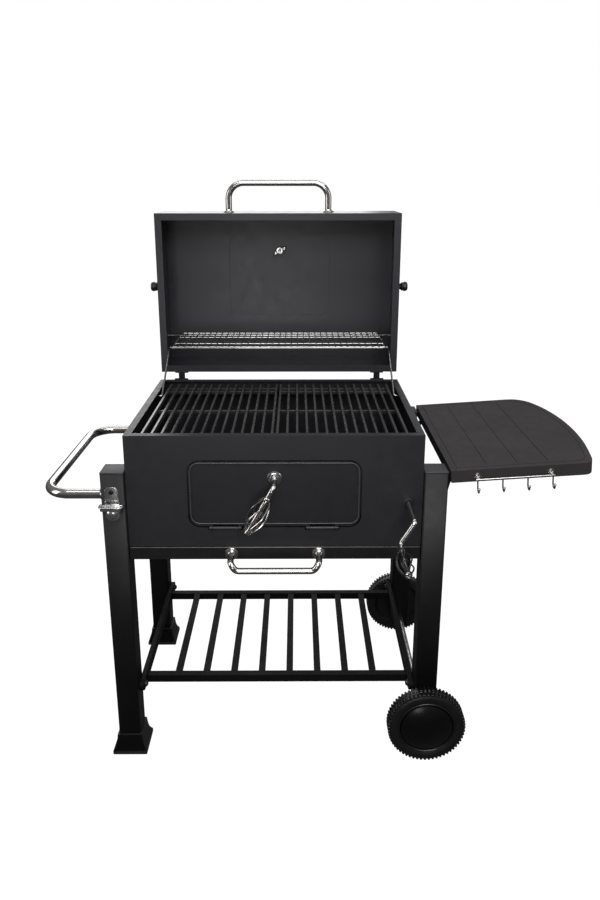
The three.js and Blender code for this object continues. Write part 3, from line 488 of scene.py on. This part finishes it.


# ---- Charcoal door ----
# A pressed steel door with rounded corners and a raised field, hung at its lower edge on two
# barrel hinges whose plates are riveted to the front wall. Its rim is rolled, in a lighter copy of the
# door's paint that is a painted highlight along the edge. A strip behind each side of the opening closes the
# gap.
door_paint = coat("door_paint", (0.0095, 0.009, 0.0112), (0.38, 0.5), 0.1, 0.02, 1.1)
eased("door_panel", door_paint, 1.1, sides=3)
for hinge in ("door_hinge_left", "door_hinge_right"):
    eased(hinge, box_paint, 0.4)
# Painted highlight: the rim's paint is a lighter, glossier copy of the door's, so the rolled edge shows as a
# light line.
rim_highlight_paint = coat("rim_highlight_paint", (0.05, 0.048, 0.055), (0.22, 0.34), 0.1, 0.01, 1.1)
RIM_Y = BOX_FRONT - 1.2
RIM_HALF, RIM_LOW, RIM_HIGH = 182, 587, 728
shape = bmesh.new()
bar(shape, rounded_line([(0, RIM_Y, RIM_HIGH), (-RIM_HALF, RIM_Y, RIM_HIGH), (-RIM_HALF, RIM_Y, RIM_LOW),
                         (RIM_HALF, RIM_Y, RIM_LOW), (RIM_HALF, RIM_Y, RIM_HIGH), (0, RIM_Y, RIM_HIGH)],
                        20.0, 12), 1.4, 12)
made("door_rolled_rim", shape, rim_highlight_paint, "body_paint", "door")
for x0, x1, label in ((-196, -180, "left"), (180, 196, "right")):
    shape = bmesh.new()
    block(shape, x0, x1, BOX_FRONT + 4.0, BOX_FRONT + 5.5, 606, 724, 0.4)
    made(f"door_stop_{label}", shape, soot_and_shade_steel, "dark_paint", "stand")


# ---- Latch ----
# A chromed spindle through the door, bent down into an arm, and a grip of spiral wires round a
# centre rod, gathered in a collar at the top and a button at the end. A tongue turns inside.
def cage(bm, place, length, wide, wires, twist, thick, core):
    """Bulging wires round a core, to be gathered into a collar at each end."""
    reach = wide / 2 - thick
    for i in range(wires):
        line = []
        for k in range(25):
            t = k / 24
            a = math.tau * i / wires + twist * t
            out = core + 1.6 + (reach - core - 1.6) * math.sin(math.pi * t) ** 0.85
            line.append(place @ Vector((out * math.cos(a), out * math.sin(a), 6 + t * (length - 12))))
        bar(bm, line, thick, 10)


LATCH_TURN = math.radians(28.7)
LATCH_Y = BOX_FRONT - 47.0
LATCH_Z = 693.0
drop = Vector((-math.sin(LATCH_TURN), 0, -math.cos(LATCH_TURN)))
spindle = Vector((0, LATCH_Y, LATCH_Z))
shape = bmesh.new()
bar(shape, rounded_line([(0, BOX_FRONT + 4, LATCH_Z), spindle, spindle + 26 * drop], 12.0, 10), 6.0, 24)
turned(shape, [(0, 0), (9.6, 0), (10.2, 0.8), (9.4, 2.6), (7.4, 3.6), (0, 3.8)],
       aim((0, BOX_FRONT - 4.7, LATCH_Z), (0, -1, 0)))
made("latch_spindle", shape, chrome, "chrome", "latch", "latch_arm")

shape = bmesh.new()
turned(shape, [(6.5, 0), (15.8, 0), (16.2, 0.7), (15.2, 2.0), (12.4, 3.0), (8.6, 3.2), (6.5, 2.6),
               (6.5, 0)], aim((0, BOX_FRONT - 1.3, LATCH_Z), (0, -1, 0)), 48)
made("latch_rosette", shape, chrome, "chrome", "door", "latch_escutcheon")

grip = aim(spindle + 26.1 * drop, drop)
shape = bmesh.new()
cage(shape, grip, 96, 43, 6, math.radians(75), 1.7, 6.0)
made("latch_cage", shape, chrome, "chrome", "latch")
shape = bmesh.new()
bar(shape, [grip @ Vector((0, 0, 4)), grip @ Vector((0, 0, 92))], 6.0, 24)
turned(shape, [(0, 0), (6.6, 0), (7.8, 1.2), (8.0, 7.0), (7.0, 9.4), (4.6, 11.0), (0, 11.0)], grip, 32)
turned(shape, [(0, 85.5), (5.4, 85.5), (7.4, 88.0), (8.0, 91.0), (7.4, 94.0), (4.8, 95.6), (0, 96.0)],
       grip, 32)
made("latch_grip_rod", shape, chrome, "chrome", "latch", "latch_grip")
eased("latch_tongue", black_zinc, 0.5)


# ---- Crank ----
# A chromed shaft that lifts the charcoal tray, bent into an arm. Its grip is a cage of black wires
# round a chromed core, held on by a cross-headed screw. A plastic bushing carries it through the wall.
def screw(bm, place, along, radius, proud, turn=0.0):
    """A pan-headed screw with a cross recess cut into its head."""
    seat = aim(place, along) @ Matrix.Rotation(turn, 4, "Z")
    head = bmesh.new()
    turned(head, [(0, 0), (radius, 0), (radius, proud * 0.35), (radius * 0.9, proud * 0.72),
                  (radius * 0.62, proud * 0.94), (0, proud)], Matrix.Identity(4), 32)
    bmesh.ops.recalc_face_normals(head, faces=head.faces)
    whole = bpy.data.meshes.new("whole")
    head.to_mesh(whole)
    head.free()
    cross = bmesh.new()
    for wide, deep in ((0.56, 0.15), (0.15, 0.56)):
        block(cross, -wide * radius, wide * radius, -deep * radius, deep * radius, proud * 0.3, proud * 1.6)
    tool_mesh = bpy.data.meshes.new("tool")
    cross.to_mesh(tool_mesh)
    cross.free()
    blank = bpy.data.objects.new("blank", whole)
    tool = bpy.data.objects.new("tool", tool_mesh)
    scene.collection.objects.link(blank)
    scene.collection.objects.link(tool)
    recess = blank.modifiers.new("recess", "BOOLEAN")
    recess.operation = "DIFFERENCE"
    recess.solver = "EXACT"
    recess.use_self = True
    recess.object = tool
    cut = bpy.data.meshes.new_from_object(blank.evaluated_get(bpy.context.evaluated_depsgraph_get()))
    old = set(bm.verts)
    bm.from_mesh(cut)
    bmesh.ops.transform(bm, matrix=seat, verts=[v for v in bm.verts if v not in old])
    for spare in (blank, tool):
        bpy.data.objects.remove(spare)
    for spare in (whole, tool_mesh, cut):
        bpy.data.meshes.remove(spare)


CRANK = Vector((289, 0, 635))
CRANK_OUT = BOX_FRONT - 92.0
CRANK_ARM = 58
turn = math.radians(31)
elbow = Vector((CRANK.x - CRANK_ARM * math.sin(turn), CRANK_OUT, CRANK.z - CRANK_ARM * math.cos(turn)))
shape = bmesh.new()
bar(shape, rounded_line([(CRANK.x, 190, CRANK.z), (CRANK.x, CRANK_OUT, CRANK.z), elbow,
                         elbow + Vector((0, -24, 0))], 9.0, 8), 5.6, 24)
DRUM_R, DRUM_LONG = 12, 16
for y in (-176, 160):
    turned(shape, [(0, 0), (DRUM_R - 0.8, 0), (DRUM_R, 0.8), (DRUM_R, DRUM_LONG - 0.8),
                   (DRUM_R - 0.8, DRUM_LONG), (0, DRUM_LONG)], aim((CRANK.x, y, CRANK.z), (0, 1, 0)), 32)
made("crank_rod", shape, chrome, "chrome", "crank", "crank_shaft")

grip_black = coat("grip_black", (0.010, 0.010, 0.0105), (0.2, 0.34), 0.15, 0.02, 1.2)
grip = aim(elbow + Vector((0, -24.1, 0)), (0, -1, 0))
shape = bmesh.new()
cage(shape, grip, 96, 38, 6, math.radians(75), 1.7, 4.2)
turned(shape, [(0, 0), (6.8, 0), (7.8, 1.0), (8.0, 8.0), (7.0, 10.4), (4.6, 12.0), (0, 12.0)], grip, 32)
turned(shape, [(0, 84), (6.0, 84), (8.0, 87.0), (8.6, 91.0), (8.2, 92.4), (0, 92.4)], grip, 32)
made("crank_cage", shape, grip_black, "dark_paint", "crank", "crank_grip")
shape = bmesh.new()
bar(shape, [grip @ Vector((0, 0, 12.1)), grip @ Vector((0, 0, 83.9))], 4.2, 20)
made("crank_grip_core", shape, chrome, "chrome", "crank")
shape = bmesh.new()
screw(shape, elbow + Vector((0, -24.1 - 92.5, 0)), (0, -1, 0), 7.0, 3.3, 0.4)
made("crank_end_screw", shape, chrome, "chrome", "crank")

shape = bmesh.new()
turned(shape, [(6.0, -5), (9.7, -5), (9.7, 0), (12.0, 0), (12.4, 0.6), (12.0, 1.8), (10.6, 2.4), (6.8, 2.4),
               (6.0, 1.8), (6.0, -5)], aim((CRANK.x, BOX_FRONT, CRANK.z), (0, -1, 0)), 48)
made("crank_bush", shape, shoe_plastic, "black_plastic", "stand", "crank_bushing")


# ---- Bottle opener ----
# A nickel-plated plate on the front left leg with a hooded cup across it that catches a crown cap,
# held by a cross-headed screw at the top.
def rounded_plate(bm, wide, tall, thick, corner, edge, place):
    """A flat plate with rounded corners and eased rims; its back lies on the placing's plane."""
    old = set(bm.verts)
    flat = bmesh.ops.create_grid(bm, x_segments=1, y_segments=1, size=0.5,
                                 matrix=Matrix.Diagonal((wide, tall, 1, 1)))
    bmesh.ops.bevel(bm, geom=flat["verts"], offset=corner, segments=8, profile=0.5,
                    affect="VERTICES", material=-1)
    sheet = [f for f in bm.faces if f.verts[0] not in old]
    step = bmesh.ops.extrude_face_region(bm, geom=sheet)["geom"]
    top = [g for g in step if isinstance(g, bmesh.types.BMVert)]
    bmesh.ops.translate(bm, vec=(0, 0, thick), verts=top)
    face = [g for g in step if isinstance(g, bmesh.types.BMFace)][0]
    if edge:
        bmesh.ops.bevel(bm, geom=list(face.edges), offset=edge, segments=3, profile=0.5,
                        affect="EDGES", material=-1)
    fresh = [v for v in bm.verts if v not in old]
    bmesh.ops.transform(bm, matrix=place, verts=fresh)


nickel = coat("nickel", (0.66, 0.65, 0.64), (0.12, 0.28), 0.06, 0.002, 3.0, metal=1.0)
OPENER_X = -348.5
LEG_HALF = 25.5
OPENER_Y = -LEG_Y - LEG_HALF - 0.1
shape = bmesh.new()
rounded_plate(shape, 30, 78, 2.0, 12.0, 0.6, aim((OPENER_X, OPENER_Y, 639), (0, -1, 0)))
made("opener", shape, nickel, "bright_steel", "stand", "bottle_opener")
shape = bmesh.new()
hood = [(OPENER_X - 25, OPENER_Y - 1, 636), (OPENER_X - 25, OPENER_Y - 18, 637),
        (OPENER_X + 25, OPENER_Y - 18, 637), (OPENER_X + 25, OPENER_Y - 1, 636)]
bar(shape, rounded_line(hood, 9.0, 8), 2.4, 14)
block(shape, OPENER_X - 22, OPENER_X + 22, OPENER_Y - 18.6, OPENER_Y - 15.6, 629, 642, 1.2)
block(shape, OPENER_X - 24, OPENER_X + 24, OPENER_Y - 6.0, OPENER_Y, 634.4, 638.4, 1.2)
turned(shape, [(0, 0), (12.5, 0), (12.0, 3.0), (9.0, 6.0), (5.5, 7.4), (0, 7.8)],
       aim((OPENER_X, OPENER_Y - 2.1, 617), (0, -1, 0)), 40)
made("opener_hood", shape, nickel, "bright_steel", "stand")
shape = bmesh.new()
screw(shape, (OPENER_X, OPENER_Y - 1.9, 667), (0, -1, 0), 5.6, 3.0, 0.5)
made("opener_screw", shape, black_zinc, "bright_steel", "stand")


# ---- Lid ----
# A deep pressed lid with its rim folded in, standing open on two hinges, with an embossed field
# on top for the thermometer, and vent holes in both ends.
# Painted light: the lid's paint is a lighter copy of the firebox's, for the light that falls into the open
# lid.
lid_lit_paint = coat("lid_lit_paint", (0.021, 0.0203, 0.0252), (0.31, 0.39), 0.1, 0.02, 1.1)
eased("lid_shell", lid_lit_paint, 0.8)
LID_TOP = 1229.0
GRIP_HALF, GRIP_Y = 132, 300
GRIP_HIGH = LID_TOP + 76
shape = bmesh.new()
bar(shape, rounded_line([(-GRIP_HALF, GRIP_Y, LID_TOP + 0.1), (-GRIP_HALF, GRIP_Y, GRIP_HIGH),
                         (GRIP_HALF, GRIP_Y, GRIP_HIGH), (GRIP_HALF, GRIP_Y, LID_TOP + 0.1)],
                        40.0, 16), 8.4, 32)
for x in (-GRIP_HALF, GRIP_HALF):
    turned(shape, [(0, 0), (14.6, 0), (15.0, 0.8), (14.4, 2.4), (11.6, 4.2), (9.6, 5.2), (8.7, 7.0),
                   (0, 7.2)], aim((x, GRIP_Y, LID_TOP + 0.1), (0, 0, 1)))
made("lid_handle_tube", shape, chrome, "chrome", "lid", "lid_handle")


# ---- Thermometer ----
# A round dial in a bright bezel on the outside of the lid, with a plain scale and a red pointer
# under glass; its stem goes through the lid and is held inside by a wing nut.
LID_BACK = 395
THERMO = Vector((0, LID_BACK + 1.3, 1120))
steel = coat("steel", (0.50, 0.50, 0.49), (0.24, 0.4), 0.08, 0.01, 2.0, metal=1.0)
shape = bmesh.new()
turned(shape, [(0, -45.3), (3.0, -45.3), (4.5, -43.0), (4.5, 1.8), (31.5, 1.8), (33.0, 3.4), (33.0, 12.0),
               (32.2, 15.0), (30.6, 16.0), (28.6, 15.6), (28.0, 12.6), (0, 12.4)], aim(THERMO, (0, 1, 0)), 64)
made("thermometer_case", shape, steel, "bright_steel", "lid", "thermometer")
dial_white = coat("dial_white", (0.78, 0.77, 0.73), (0.45, 0.6), 0.03, 0.004, 2.0)
shape = bmesh.new()
turned(shape, [(0, 0), (27.6, 0), (27.6, 0.4), (0, 0.4)], aim(THERMO + Vector((0, 12.5, 0)), (0, 1, 0)), 64)
made("thermometer_dial", shape, dial_white, "bright_steel", "lid")
dial_ink = coat("dial_ink", (0.02, 0.02, 0.02), (0.5, 0.6), 0.05, 0.002, 2.0)
TICKS = 25
shape = bmesh.new()
for i in range(TICKS):
    start = 21.0 if i % 4 else 18.5
    tick = block(shape, -0.35, 0.35, -0.1, 0.1, start, 25.5)
    way_round = Matrix.Rotation(math.radians(-135 + 270 * i / (TICKS - 1)), 3, "Y")
    bmesh.ops.rotate(shape, cent=(0, 0, 0), matrix=way_round, verts=tick)
    bmesh.ops.translate(shape, vec=THERMO + Vector((0, 13.0, 0)), verts=tick)
made("thermometer_scale", shape, dial_ink, "dark_paint", "lid")
pointer_red = coat("pointer_red", (0.45, 0.02, 0.015), (0.35, 0.45), 0.05, 0.002, 2.0)
shape = bmesh.new()
needle = block(shape, -0.7, 0.7, -0.2, 0.2, -6.0, 21.0, 0.15, 1)
bmesh.ops.rotate(shape, cent=(0, 0, 0), matrix=Matrix.Rotation(math.radians(-112), 3, "Y"), verts=needle)
bmesh.ops.translate(shape, vec=THERMO + Vector((0, 13.6, 0)), verts=needle)
turned(shape, [(0, 0), (3.0, 0), (2.8, 1.0), (0, 1.3)], aim(THERMO + Vector((0, 13.2, 0)), (0, 1, 0)), 24)
made("thermometer_pointer", shape, pointer_red, "dark_paint", "lid")

NUT = Vector((0, LID_BACK - 14, 1120))
shape = bmesh.new()
turned(shape, [(4.7, 0), (8.0, 0), (9.4, 1.4), (10.0, 8.6), (9.2, 10.0), (4.7, 10.0), (4.7, 0)],
       aim(NUT, (0, 1, 0)), 32)
for side in (-1, 1):
    wing = bmesh.new()
    rounded_plate(wing, 13.0, 12.0, 6.0, 4.8, 1.4, Matrix.Translation((side * 13.5, 3.0, -3.0)))
    bmesh.ops.rotate(wing, cent=(0, 0, 0), matrix=Matrix.Rotation(math.radians(-28), 3, "Y"),
                     verts=wing.verts)
    bmesh.ops.transform(wing, matrix=Matrix.Translation(NUT), verts=wing.verts)
    spare = bpy.data.meshes.new("wing")
    wing.to_mesh(spare)
    wing.free()
    shape.from_mesh(spare)
    bpy.data.meshes.remove(spare)
made("thermometer_wing_nut", shape, nickel, "bright_steel", "lid", "thermometer_nut")


# ---- Lid vents ----
# A turning steel disc with three holes over three holes in each end of the lid, and a flared black
# plastic knob on a short stem.
knob_black = coat("knob_black", (0.0085, 0.0085, 0.009), (0.3, 0.45), 0.1, 0.03, 1.0)
VENT_Y, VENT_Z = 318.0, 1028.0
for side, label in ((-1, "left"), (1, "right")):
    eased(f"vent_disc_{label}", knob_black, 0.5)
    shape = bmesh.new()
    turned(shape, [(0, 0), (7.6, 0), (7.8, 1.0), (7.0, 6.5), (9.6, 8.4), (12.6, 10.5), (13.2, 13.0),
                   (12.8, 17.0), (11.0, 20.2), (8.0, 21.2), (0, 21.4)],
           aim((side * (BOX_SIDE + 12.1), VENT_Y, VENT_Z), (side, 0, 0)), 12)
    made(f"vent_knob_{label}", shape, knob_black, "black_plastic", f"vent_{label}", sharp=24.0)


# ---- Lid hinges ----
# Folded brackets bolted to the back wall, with barrels and a pin, and mating leaves under the
# open lid's lower wall.
for label in ("left", "right"):
    eased(f"lid_hinge_lower_{label}", leg_paint, 0.5)
    eased(f"lid_hinge_upper_{label}", leg_paint, 0.5)
for side, label in ((-1, "left"), (1, "right")):
    shape = bmesh.new()
    for z in (752, 768):
        screw(shape, (side * 266, 220.6, z), (0, 1, 0), 4.6, 2.6, 0.3 * z)
    made(f"hinge_screws_{label}", shape, black_zinc, "dark_paint", "stand")


# ---- Warming rack ----
# A chromed wire shelf carried by the lid at the back and by two bent wire legs at the front; the
# wires are welded over the cross rods.
def rod(bm, a, b, radius, sides=12):
    bar(bm, [a, b], radius, sides)


RACK_X, RACK_Z = 284.0, 881.5
RACK_FRONT, RACK_REAR = 200, 386
RACK_WIRES = 33
LEG_EYE = (245, 873)
LEG_FOOT = (105, 778)
shape = bmesh.new()
frame_rod = rounded_line([(0, RACK_FRONT, RACK_Z), (-RACK_X, RACK_FRONT, RACK_Z),
                          (-RACK_X, RACK_REAR, RACK_Z), (RACK_X, RACK_REAR, RACK_Z),
                          (RACK_X, RACK_FRONT, RACK_Z), (0, RACK_FRONT, RACK_Z)], 7.0, 5)
bar(shape, frame_rod, 2.4, 14)
for y in (212, 251, 330):
    rod(shape, (-RACK_X, y, RACK_Z), (RACK_X, y, RACK_Z), 2.2)
for i in range(1, RACK_WIRES + 1):
    x = -RACK_X + 2 * RACK_X * i / (RACK_WIRES + 1)
    rod(shape, (x, 198.6, RACK_Z + 3.0), (x, 387.4, RACK_Z + 3.0), 1.3, 10)
rod(shape, (-BOX_SIDE - 5, 369.25, 879.25), (BOX_SIDE + 5, 369.25, 879.25), 2.5, 16)
for side in (-1, 1):
    eye = bmesh.new()
    turned(eye, [(3.1, -1.2), (5.6, -1.2), (6.0, -0.8), (6.0, 0.8), (5.6, 1.2), (3.1, 1.2), (3.1, -1.2)],
           aim((side * RACK_X, *LEG_EYE), (1, 0, 0)), 24)
    spare = bpy.data.meshes.new("eye")
    eye.to_mesh(spare)
    eye.free()
    shape.from_mesh(spare)
    bpy.data.meshes.remove(spare)
    rod(shape, (side * RACK_X, 245, 878.6), (side * RACK_X, 245, RACK_Z + 1.0), 1.8)
rack_wire = coat("rack_wire", (0.40, 0.395, 0.38), (0.14, 0.28), 0.12, 0.01, 3.0, metal=1.0)
made("rack_wires", shape, rack_wire, "chrome", "rack", "warming_rack")
for side, label in ((-1, "left"), (1, "right")):
    shape = bmesh.new()
    bar(shape, rounded_line([(side * 324, *LEG_FOOT), (side * 296.5, *LEG_FOOT), (side * 296.5, *LEG_EYE),
                             (side * 279, *LEG_EYE)], 5.0, 8), 2.4, 16)
    made(f"rack_leg_wire_{label}", shape, rack_wire, "chrome", f"rack_leg_{label[0]}", f"rack_leg_{label}")


# ---- Side table ----
# A moulded plastic shelf with a bowed outer edge, its field set down inside a border and grooved
# like planks, on a pair of steel brackets that let it fold down.
table_plastic = coat("table_plastic", (0.034, 0.030, 0.032), (0.6, 0.75), 0.1, 0.04, 1.0, specular=0.12)
eased("table_top", table_plastic, 1.2, sides=3, sharp=40.0)
for along in ("front", "rear"):
    eased(f"table_bracket_{along}", leg_paint, 0.4)
TABLE_EDGE = Vector((375, -233.0, 715))
tip_down = Matrix.Rotation(math.radians(-3.7), 4, "Y")
tilt = Matrix.Translation(TABLE_EDGE) @ tip_down @ Matrix.Translation(-TABLE_EDGE)
HOOK_Y, HOOK_TIP_Y = -240.05, -252.2
HOOK_XS = [429 + i * 159 / 3 for i in range(4)]
shape = bmesh.new()
rail_z = 715 - 20.0
rod(shape, (425, HOOK_Y, rail_z), (592, HOOK_Y, rail_z), 2.0, 16)
for x in (431, 586):
    block(shape, x - 3, x + 3, -240.8, -233.1, rail_z - 1.5, rail_z + 4, 0.8)
    turned(shape, [(0, 0), (7.4, 0), (7.6, 0.5), (7.2, 1.2), (0, 1.4)],
           aim((x, -233.1, rail_z + 6), (0, -1, 0)), 32)
    screw(shape, (x, -234.4, rail_z + 6), (0, -1, 0), 5.6, 3.0, 0.2)
for x in HOOK_XS:
    bar(shape, rounded_line([(x, HOOK_Y, rail_z + 1), (x, HOOK_Y, rail_z - 24), (x, -251.0, rail_z - 27.5),
                             (x, HOOK_TIP_Y, rail_z - 18)], 4.2, 6), 1.7, 12)
bmesh.ops.transform(shape, matrix=tilt, verts=shape.verts)
made("hook_rail_wire", shape, chrome, "chrome", "table", "hook_rail")
shape = bmesh.new()
for x in HOOK_XS:
    turned(shape, [(0, -3.2), (2.2, -2.4), (3.2, 0), (2.2, 2.4), (0, 3.2)],
           aim((x, HOOK_TIP_Y, rail_z - 17), (0, 0, 1)), 16)
bmesh.ops.transform(shape, matrix=tilt, verts=shape.verts)
made("hook_rail_tips", shape, steel, "chrome", "table")


# ---- Wheels ----
# Moulded wheels with a tread of two rows of small lugs, a ring-shaped side wall and a large glossy
# domed cap over the hub, on a steel axle through the right legs.
eased("axle", steel, 0.8)
tread = coat("tread", (0.0035, 0.0035, 0.0037), (0.34, 0.46), 0.15, 0.04, 1.0)
wheel_black = coat("wheel_black", (0.003, 0.0028, 0.003), (0.32, 0.44), 0.1, 0.02, 1.2)
cap_gloss = coat("cap_gloss", (0.0022, 0.0019, 0.0022), (0.22, 0.30), 0.1, 0.004, 4.0, specular=0.3)
LUGS = 60
WHEEL_X, WHEEL_Z = 346.5, 90
WHEEL_HALF = 17
for side, along in ((-1, "front"), (1, "rear")):
    hub = aim((WHEEL_X, side * (LEG_Y + LEG_HALF + 2 + WHEEL_HALF), WHEEL_Z), (0, side, 0))
    shape = bmesh.new()
    turned(shape, [(66.2, -16.5), (81, -WHEEL_HALF), (85, -15), (86.6, -11), (86.6, -1.2), (85.4, 0),
                   (86.6, 1.2), (86.6, 11), (85, 15), (81, WHEEL_HALF), (71, 16.6), (66.2, 14.5),
                   (66.2, -16.5)], Matrix.Identity(4), 96)
    for low, high, start in ((1.6, 14.4, 0.0), (-14.4, -1.6, 0.5)):
        lug = block(shape, 84.5, 89.8, -2.5, 2.5, low, high, 0.8, 1)
        bmesh.ops.rotate(shape, cent=(0, 0, 0), matrix=Matrix.Rotation(math.tau * start / LUGS, 3, "Z"),
                         verts=lug)
        edges = list({e for v in lug for e in v.link_edges})
        faces = list({f for v in lug for f in v.link_faces})
        parts = lug + edges + faces
        bmesh.ops.spin(shape, geom=parts, cent=(0, 0, 0), axis=(0, 0, 1),
                       angle=math.tau * (LUGS - 1) / LUGS, steps=LUGS - 1, use_duplicate=True)
    bmesh.ops.transform(shape, matrix=hub, verts=shape.verts)
    made(f"tyre_{along}_tread", shape, tread, "wheel_tread", f"wheel_{along}", f"tyre_{along}")
    shape = bmesh.new()
    turned(shape, [(5.2, -WHEEL_HALF), (18, -WHEEL_HALF), (20, -9), (58, -8), (66, -15), (66, 14.6),
                   (64.8, 15.6), (63.2, 15.4), (61.6, 13.8), (61.0, 11.0), (57.5, 9.0), (20, 15.6),
                   (5.2, 15.6), (5.2, -WHEEL_HALF)], hub, 80)
    made(f"wheel_{along}_disc", shape, wheel_black, "black_plastic", f"wheel_{along}", f"wheel_disc_{along}")
    shape = bmesh.new()
    turned(shape, [(0, 26.5), (5.3, 26.5), (5.3, 16.2), (20, 16.2), (55, 11.0), (58.5, 11.4), (60, 12.6),
                   (59, 14.6), (54, 17.4), (46, 20.6), (36, 23.8), (24, 26.6), (12, 28.4), (0, 28.9)],
           hub, 80)
    made(f"wheel_{along}_cap", shape, cap_gloss, "black_plastic", f"wheel_{along}", f"hub_cap_{along}")


# ---- Sizes ----
# The finished model's box.
low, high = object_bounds()
